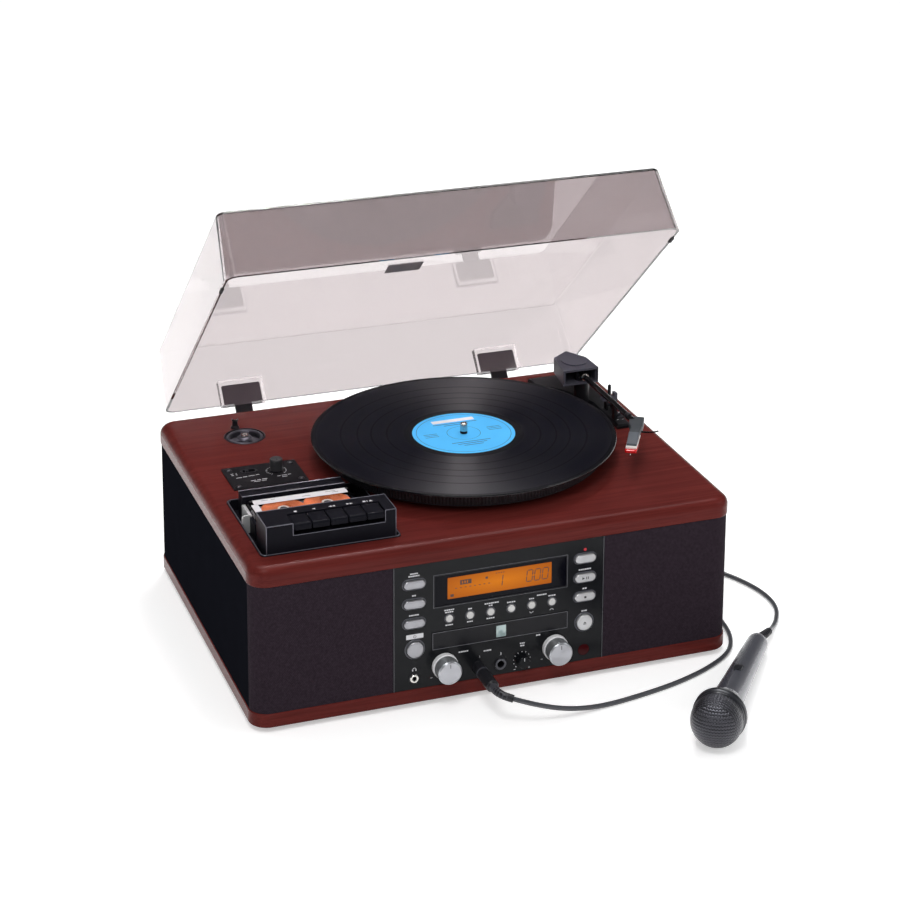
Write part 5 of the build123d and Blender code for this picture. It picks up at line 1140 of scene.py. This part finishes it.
bead_along("key_slot_edge", [(key_low[0] - 0.9, block_y0, block_z),
                             (key_low[0] - 0.9, block_y0, slot_z),
                             (last_high[0] + 0.9, block_y0, slot_z),
                             (last_high[0] + 0.9, block_y0, block_z)], 0.4, painted_edge_highlight)
bar_x0, bar_x1 = deck_low[0] + 10.0, deck_low[0] + 110.0
bar_y0, bar_y1 = deck_high[1] - 25.0, deck_high[1] - 11.0
bar_z = floor_z + 18.2
bead_along("rear_bar_edge", [(bar_x0, bar_y1, bar_z), (bar_x1, bar_y1, bar_z)], 0.5, painted_edge_highlight)
bead_along("rear_bar_front_edge", [(bar_x0, bar_y0, bar_z), (bar_x1, bar_y0, bar_z)], 0.5, painted_edge_highlight)
# A black plate for the notch in the bar: painted shade.
flat_plate("rear_bar_notch_painted_shade", [rounded(13, 3.4, 0.6, ((bar_x0 + bar_x1) / 2, bar_y0 + 1.8), 3)], bar_z,
           0.05, black_ink_and_shade, "cabinet")
bracket_x, bracket_y = deck_low[0] + 10.4, deck_high[1] - 51.5
plates("deck_bracket", [rounded(28.0, 15.9, 0.8, (bracket_y + 10.5, floor_z + 3.8), 4)],
       ((bracket_x - 1.7, 0, 0), (0, 1, 0), (0, 0, 1)), 3.4, bracket_steel, "cabinet", bevel=0.4)
plates("deck_bracket_lip", [rounded(9.4, 18.0, 2.6, (bracket_x - 4.4, floor_z + 4.9), 6)],
       ((0, bracket_y - 3.2, 0), *facing), 1.6, bracket_steel, "cabinet", bevel=0.5)
for name in ("record", "play", "rewind", "fast_forward", "stop_eject"):
    low, high = span(f"tape_{name}_key")
    mid_x, half = (low[0] + high[0]) / 2, (high[0] - low[0]) / 2 - 0.1
    deep = high[1] - low[1]
    lie = (np.array([mid_x, low[1], 0.0]), np.array([0.0, 1, 0]), np.array([1.0, 0, 0]),
           np.array([0.0, 0, 1]))
    key = block(f"tape_{name}_key_cap", [(0.0, low[2], high[2] - 1.9, half - 0.5, 0.4, 0),
                                         (0.35, low[2], high[2] - 0.9, half - 0.1, 0.7, 0),
                                         (1.3, low[2], high[2] - 0.1, half, 0.8, 0),
                                         (2.4, low[2], high[2], half, 0.8, 0),
                                         (deep * 0.5, low[2], high[2] - 0.25, half, 0.8, 0),
                                         (deep - 1.0, low[2], high[2], half, 0.8, 0),
                                         (deep, low[2], high[2] - 0.7, half - 0.3, 0.6, 0)], lie,
                deck_black, f"tape_{name}_key")
    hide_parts(f"tape_{name}_key")
mark_y = key_high[1] + 4.2
triangle = np.array([(-1.5, -1.4), (1.5, 0), (-1.5, 1.4)])
signs = {"record": [disc(1.5, (0, 0), 20)], "play": [triangle * (-1, 1)],
         "rewind": [triangle * (-1, 1) - (1.6, 0), triangle * (-1, 1) + (1.6, 0)],
         "fast_forward": [triangle - (1.6, 0), triangle + (1.6, 0)],
         "stop_eject": [rounded(2.6, 2.6, 0.1, (-3.4, 0), 2), rounded(0.5, 3.4, 0.1, (-0.6, 0), 2),
                        np.array([(1.2, -0.6), (4.4, -0.6), (2.8, 1.4)]),
                        rounded(3.2, 0.6, 0.1, (2.8, -1.4), 2)]}
for name, outlines in signs.items():
    low, high = span(f"tape_{name}_key")
    flat_plate(f"tape_{name}_sign", shifted(outlines, [((low[0] + high[0]) / 2, mark_y)]), block_z,
               0.03, white_ink, "cabinet")

# ------------------------------------------------------------------ cassette
# A clear moulded compact cassette with a silver label strip, two reels of orange leader on white hubs,
# and a small red sticker. Five black screws hold its halves.
clear_shell, tree, shell = new_finish("clear_shell",
                                      {"Base Color": shade(232, 230, 232), "Roughness": 0.06,
                                       "IOR": 1.16, "Transmission Weight": 1.0})
dress(clear_shell, "cassette")
tape_x, tape_y = plan_middle("cassette")
tape_z = span("cassette")[1][2] - 1.7
orange_tape = moulded("orange_tape", shade(224, 122, 74), 0.36, 0.62, 420.0, 0.00003)
hub_white = moulded("hub_white", shade(228, 224, 218), 0.4, 0.06)
label_silver = moulded("label_silver", shade(222, 221, 224), 0.4, 0.06, 2500.0, 0.000006)
red_sticker = moulded("red_sticker", shade(196, 58, 40), 0.4, 0.08)
liner_grey = moulded("liner_grey", shade(168, 166, 170), 0.5, 0.6, 380.0, 0.00003)
for name, x, wound in (("left", tape_x - 21.25, 20.6), ("right", tape_x + 21.25, 22.4)):
    centre = (x, tape_y + 6.2, tape_z)
    turned(f"{name}_reel", [(5.4, -5.6), (wound, -5.6), (wound, -1.3), (5.4, -1.3), (5.4, -5.6)],
           centre, skyward, orange_tape, "cassette", 72)
    turned(f"{name}_hub", [(3.5, -5.9), (5.5, -5.9), (5.5, -0.8), (5.2, -0.5), (3.5, -0.5),
                           (3.5, -5.9)], centre, skyward, hub_white, "cassette", 56)
    teeth = [swung(rounded(1.0, 0.9, 0.2, (3.2, 0), 2), start, centre[:2])
             for start in np.radians(np.arange(0, 360, 60))]
    # A black disc in each hub's hole: painted shade where the hole is.
    turned(f"{name}_hub_hole_shade", [(0, -6.4), (3.45, -6.4), (3.45, -0.6), (2.6, -0.45), (0, -0.42)],
           centre, skyward, black_ink_and_shade, "cassette", 32)
    flat_plate(f"{name}_hub_teeth", teeth, tape_z - 4.6, 3.8, hub_white, "cassette")
flat_plate("cassette_liner", [rounded(91, 44, 2, (tape_x, tape_y + 2), 4)], tape_z - 7.2, 0.3,
           liner_grey, "cassette")
flat_plate("cassette_label", [rounded(91, 10.6, 0.8, (tape_x, tape_y + 24.9), 4),
                              rounded(6.6, 30, 0.8, (tape_x - 45.4, tape_y + 5.6), 4)], tape_z, 0.06,
           label_silver, "cassette")
flat_plate("cassette_sticker", [rounded(7.6, 10.4, 0.4, (tape_x + 36.4, tape_y - 2.4), 3)], tape_z,
           0.06, red_sticker, "cassette")
label_marks = [rounded(wide, 0.7, 0.1, (tape_x + x, tape_y + y), 2) for x, y, wide in
               ((-34, 27, 7), (-26, 27, 4), (30, 27, 10), (34, 24.4, 6), (6, 24.4, 8))]
flat_plate("cassette_label_rules", label_marks, tape_z + 0.06, 0.02, black_ink_and_shade, "cassette")
for number, (x, y) in enumerate(((-46.6, 28.4), (46.6, 28.4), (-46.6, -28.0), (46.6, -28.0),
                                 (0, -12.0))):
    turned(f"cassette_screw_{number}", [(0, 0), (1.7, 0), (1.7, 0.15), (1.2, 0.3), (0, 0.3)],
           (tape_x + x, tape_y + y, tape_z), skyward, black_ink_and_shade, "cassette", 24)

# ------------------------------------------------------------------ dust cover
# One thin shell of smoky clear acrylic, moulded with pockets for the two hinge tongues, with small
# black bumpers near its front corners and a blank dark plate on its top panel.
acrylic, tree, clear = new_finish("smoky_acrylic",
                                  {"Base Color": shade(199, 191, 192), "Roughness": 0.02, "IOR": 1.49,
                                   "Specular IOR Level": 0.08, "Transmission Weight": 1.0})
through = node(tree, "BsdfTransparent", {"Color": shade(226, 221, 222)})
shadow = node(tree, "LightPath").outputs["Is Shadow Ray"]
glassy = node(tree, "MixShader", {0: shadow, 1: clear.outputs[0], 2: through.outputs[0]})
tree.links.new(glassy.outputs[0], tree.nodes["Material Output"].inputs["Surface"])
dress(acrylic, "lid")
hinge_plum = moulded("hinge_plum", shade(98, 91, 97), 0.4, 0.12, 2200.0, 0.00001)
dress(satin_black, "hinge_leaves", "hinge_brackets")
hinge_y, hinge_z = 188.27, 145.75
raised = np.radians(41.18)
lid_back = np.array([0.0, np.cos(raised), -np.sin(raised)])
lid_up = np.array([0.0, np.sin(raised), np.cos(raised)])
hinge_at = np.array([0.0, hinge_y, hinge_z])
plate_rise, bumper_rise, tongue_rise = 80.75, 15.6, 28.0
plates("lid_plate", [rounded(37.0, 20.0, 0.6, (4.8, -176.3), 3)],
       (hinge_at + plate_rise * lid_up, (1, 0, 0), lid_back),
       0.4, moulded("dark_plate", shade(70, 64, 70), 0.4, 0.1), "lid")
bumpers = [rounded(3.2, 11.0, 0.8, (side * 224.7, -334.2), 3) for side in (-1, 1)]
plates("lid_bumpers", bumpers, (hinge_at + bumper_rise * lid_up, (1, 0, 0), lid_back), 2.4, rubber_black_and_shade,
       "lid", bevel=0.4)
for side, place in ((-1, "left"), (1, "right")):
    x = side * 141.5
    plates(f"{place}_hinge_cover", [rounded(41.0, 21.0, 1.0, (x, 28.05), 4)],
           (hinge_at - 3.93 * lid_back, (1, 0, 0), lid_up), 0.08, hinge_plum, "lid")
    for mark, beside in (("a", -9.6), ("b", 9.6)):
        centre = hinge_at - 1.25 * lid_back + (x + beside, 0, 0) + tongue_rise * lid_up
        turned(f"{place}_tongue_screw_{mark}",
               [(0, 0), (2.6, 0), (2.4, 0.9), (0, 1.2)], centre, lid_back, screw_steel, "lid", 24)

# ------------------------------------------------------------------ microphone
# A hand microphone: a ball of woven wire over foam, a collar, and a grey lacquered body with a slide
# switch. A ribbed rubber boot holds the cord.
mic_head, mic_tail = np.array([148.1, -338.1, 25.8]), np.array([263.2, -190.9, 10.6])
mic_long = np.linalg.norm(mic_tail - mic_head)
mic_run = (mic_tail - mic_head) / mic_long
mic_side = np.array([mic_run[1], -mic_run[0], 0.0]) / np.hypot(mic_run[0], mic_run[1])
mic_over = np.cross(mic_side, mic_run)
wire, tree, steel = new_finish("woven_wire", {"Metallic": 0.75, "Roughness": 0.34})
place = node(tree, "TexCoord").outputs["Object"]
from_head = vector_math(tree, "SUBTRACT", place, tuple(mic_head / 1000))
unit = vector_math(tree, "NORMALIZE", from_head)


def part_along(way):
    """The unit vector's part along a direction."""
    return vector_math(tree, "DOT_PRODUCT", unit, tuple(way))


def crossed(first, second):
    """The weave whose threads run along the two diagonals of a pair of coordinates."""
    threads = node(tree, "CombineXYZ", {0: math(tree, "ADD", first, second),
                                        1: math(tree, "SUBTRACT", first, second)})
    return node(tree, "Group", {"Threads": threads.outputs[0]}, node_tree=plain_weave).outputs


ahead, beside, above = part_along(mic_run), part_along(mic_side), part_along(mic_over)
dome_rate, band_rate, band_count = 8.2, 9.4, 23
dome = crossed(*(math(tree, "MULTIPLY", math(tree, "ARCSINE", part), dome_rate)
                 for part in (beside, above)))
round_it = math(tree, "MULTIPLY", math(tree, "ARCTAN2", beside, above), band_count / np.pi)
band = crossed(round_it, math(tree, "MULTIPLY", math(tree, "ARCSINE", ahead), band_rate))
crown = ranged(tree, ahead, (-0.56, -0.54), (1.0, 0.0))


def chosen(name):
    """The dome's weave at the ball's end, the band's elsewhere."""
    return node(tree, "Mix", {0: crown, 2: band[name], 3: dome[name]}, data_type="FLOAT").outputs[0]


feed(tree, steel, {"Base Color": mixed(tree, "MIX", chosen("Gap"), shade(68, 68, 74), shade(3, 3, 5)),
                   "Normal": bump(tree, chosen("Height"), 0.9, 0.0006)})
ball_r = 23.7
ball = [(ball_r * np.sin(a), -ball_r * np.cos(a)) for a in np.linspace(0, np.pi / 2, 22)]
ball += [(23.4, 5.0), (22.6, 8.6), (20.0, 9.0), (0, 9.0)]
head = turned("mic_mesh_ball", ball, mic_head, mic_run, wire, "cabinet", 96)
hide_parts("microphone")
collar_dark = moulded("collar_dark", shade(44, 45, 50), 0.3, 0.08, 2500.0, 0.000006, {"Metallic": 0.3})
grey_lacquer = moulded("grey_lacquer", shade(78, 79, 87), 0.24, 0.05, 2500.0, 0.000003,
                       {"Metallic": 0.25, "Specular IOR Level": 0.4})
turned("mic_collar", [(20.0, 7.4), (23.2, 7.4), (23.6, 8.4), (23.6, 9.4), (24.3, 10.2), (24.75, 11.0),
                      (24.75, 13.1), (24.3, 13.5), (24.3, 13.9), (24.75, 14.3), (24.75, 15.9),
                      (24.0, 17.0), (22.4, 18.6), (20.0, 18.6), (20.0, 7.4)], mic_head, mic_run,
       collar_dark, "cabinet", 96)
share = np.linspace(0, 1, 24)
neck_r, waist_r, end_r = 22.5, 15.0, 10.2
throat = neck_r + (waist_r - neck_r) * (3 * share ** 2 - 2 * share ** 3)
flare = [(r, 18.4 + 22.6 * t) for r, t in zip(throat, share)]
rest = [(waist_r + (end_r - waist_r) * t ** 0.8, 41 + (mic_long - 44) * t)
        for t in np.linspace(0.03, 1, 30)]
lacquer_line = [(0, 18.0), (22.4, 18.0), *flare, *rest, (9.6, mic_long - 1.0), (8.4, mic_long),
                (0, mic_long)]
turned("mic_body", lacquer_line, mic_head, mic_run, grey_lacquer, "cabinet", 96)
turned("mic_end_ring", [(0, -0.4), (8.4, -0.4), (9.0, -0.2), (9.0, 1.2), (7.2, 2.2), (0, 2.2)],
       mic_tail, mic_run, collar_dark, "cabinet", 64)
boot_joint = mic_head + mic_run * (mic_long + 9.0)
boot_tip = np.array([285.5, -170.5, 8.5])
boot_line = [mic_tail + t * (boot_joint - mic_tail) for t in np.linspace(0, 0.95, 12)]
boot_line += [boot_joint + t * (boot_tip - boot_joint) for t in np.linspace(0.02, 1, 26)]
rib_at = np.arange(len(boot_line)) % 4 >= 2
boot_r = np.linspace(5.6, 3.5, len(boot_line)) - 0.55 * rib_at
tube("mic_boot", boot_line, boot_r, satin_black, "cabinet", 28)

dress(collar_dark, "mic_switch")
switch_mid = mic_head + mic_run * 88.0
radius_there = 13.0


def on_body(name, outlines, out, thick, finish):
    """Plates curved onto the body: (a, b) runs a along it and b round it, at its radius there."""
    points, faces, start = [], [], 0
    for outline in outlines:
        outline = np.asarray(outline, float)
        angle = outline[:, 1] / radius_there
        turned_out = np.sin(angle)[:, None] * mic_side + np.cos(angle)[:, None] * mic_over
        base = switch_mid + outline[:, :1] * mic_run
        points += [base + (radius_there + out) * turned_out,
                   base + (radius_there + out + thick) * turned_out]
        ring, count = np.arange(len(outline)), len(outline)
        after = (ring + 1) % count
        faces += [(start + ring).tolist(), (start + count + ring[::-1]).tolist()]
        faces += (start + np.stack([ring, ring + count, after + count, after], 1)).tolist()
        start += 2 * count
    return link_up(name, np.concatenate(points), faces, finish, "cabinet")


bed = rounded(15.6, 9.4, 1.6, (0.6, 0), 5)
on_body("mic_switch_bed", [bed], -0.9, 0.35, collar_dark)
# A dark strip for the switch's groove: painted shade.
groove_shade_line = ribbons([arc(5.2, -68, 68, (6.2, 0), 20)], 0.9)
on_body("mic_switch_groove_painted_shade", groove_shade_line, 0.02, 0.12, rubber_black_and_shade)

# ------------------------------------------------------------------ microphone plug
# A 6.3 mm plug's dark moulded grip with a ribbed strain relief that bends down with the cord.
plug_black = moulded("plug_black", shade(30, 30, 34), 0.34, 0.08, 2200.0, 0.00001,
                     {"Specular IOR Level": 0.3})
dress(plug_black, "mic_plug")
plug_x, relief_rings = -21.0, 49
bend = np.array([(plug_x, -219.0, socket_z), (plug_x, -224.0, socket_z), (plug_x, -230.0, 29.8),
                 (-17.5, -238.0, 29.0), (-9.0, -242.4, 26.4)])
relief = points_along(bend, range(len(bend)), np.linspace(0, len(bend) - 1, relief_rings))
kernel = np.ones(9) / 9
smooth = np.stack([np.convolve(np.pad(relief[:, axis], 4, mode="edge"), kernel, "valid")
                   for axis in range(3)], 1)
relief_grey = moulded("relief_grey", shade(62, 62, 68), 0.4, 0.1, 2200.0, 0.00001,
                      {"Specular IOR Level": 0.3})
relief_r = 4.4 - np.linspace(0, 0.9, relief_rings) - 0.9 * (np.arange(relief_rings) % 4 >= 2)
tube("plug_relief", smooth, relief_r, relief_grey, "cabinet", 28)
turned("plug_grip_ring", [(5.4, 0), (6.15, 0.3), (6.15, 2.2), (5.4, 2.5), (5.4, 0)],
       (plug_x, -194, socket_z), forward, rim_grey, "cabinet", 48)

# ------------------------------------------------------------------ cord
# The microphone's round cord, 4.6 mm thick in a satin grey sheath, runs from the plug along the front,
# is wound in a tied coil beside the cabinet, and comes back to the boot at the microphone's end.
cord_d = 0.0046
cord_mm = cord_d * 1000
lie_z = 2.35
route_in = [(-9, -242.4, 26.4), (9.5, -249.4, 20.6), (43, -247.6, 9), (80, -241.6, lie_z),
            (127, -233.4, lie_z),
            (167, -223, lie_z), (204.5, -207.2, lie_z), (236.5, -185.8, lie_z), (252.6, -155, lie_z),
            (257.6, -118, lie_z), (259.4, -72, lie_z), (258.6, -22, lie_z), (257.4, 28, lie_z)]
route_out = [(321.6, 44, 12), (312.6, 8, lie_z), (299, -21.5, lie_z), (313.6, -48, lie_z),
             (323.8, -82, lie_z), (322.4, -116, lie_z), (307.6, -143.6, lie_z), (293, -160.8, 4.6),
             (285.5, -170.5, 8.5)]
coil_x, coil_y, coil_mid_r = 290.0, 78.0, 27.6
coil_wide, coil_high, coil_turns = 3, 4, 11.5


def coil_route(points_a_turn=16):
    """Layers of a flat spiral: the angle falls evenly, the radius steps one cord in and out by turns,
    layer on layer."""
    turn_no = np.linspace(0, coil_turns, int(coil_turns * points_a_turn) + 1)
    layer = np.minimum(turn_no // coil_wide, coil_high - 1)
    step = (turn_no - layer * coil_wide) / coil_wide * (coil_wide - 1)
    step = np.where(layer % 2 == 0, step, coil_wide - 1 - step)
    radius = coil_mid_r + ((coil_wide - 1) / 2 - step) * cord_mm
    rise = np.clip((turn_no - layer * coil_wide) * 3, 0, 1) * (layer > 0)
    height = lie_z + (layer - (layer > 0) + rise) * cord_mm
    angle = np.pi - turn_no * 2 * np.pi
    grow = 1 + 0.32 * (1 / np.cos(np.pi / points_a_turn) - 1)
    return np.stack([coil_x + grow * radius * np.cos(angle), coil_y + grow * radius * np.sin(angle),
                     height], 1)


route = np.vstack([route_in, coil_route(), route_out]) / 1000
cord_line = bpy.data.curves.new("mic_cord", "CURVE")
cord_line.dimensions = "3D"
spline = cord_line.splines.new("NURBS")
spline.points.add(len(route) - 1)
spline.points.foreach_set("co", np.column_stack([route, np.ones(len(route))]).ravel())
spline.order_u = 3
spline.use_endpoint_u = True
spline.resolution_u = 6
cord_line.bevel_depth = cord_d / 2
cord_line.use_fill_caps = True
cord_line.bevel_resolution = 5
mic_cord = bpy.data.objects.new("mic_cord", cord_line)
scene.collection.objects.link(mic_cord)
sheath = bpy.data.materials.new("cord_sheath")
sheath.use_nodes = True
cord_line.materials.append(sheath)
rubber = sheath.node_tree.nodes["Principled BSDF"]
rubber.inputs["Base Color"].default_value = shade(66, 67, 72)
rubber.inputs["Roughness"].default_value = 0.3
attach(mic_cord, "cabinet")
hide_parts("cord_to_coil", "cord_coil", "cord_to_mic")
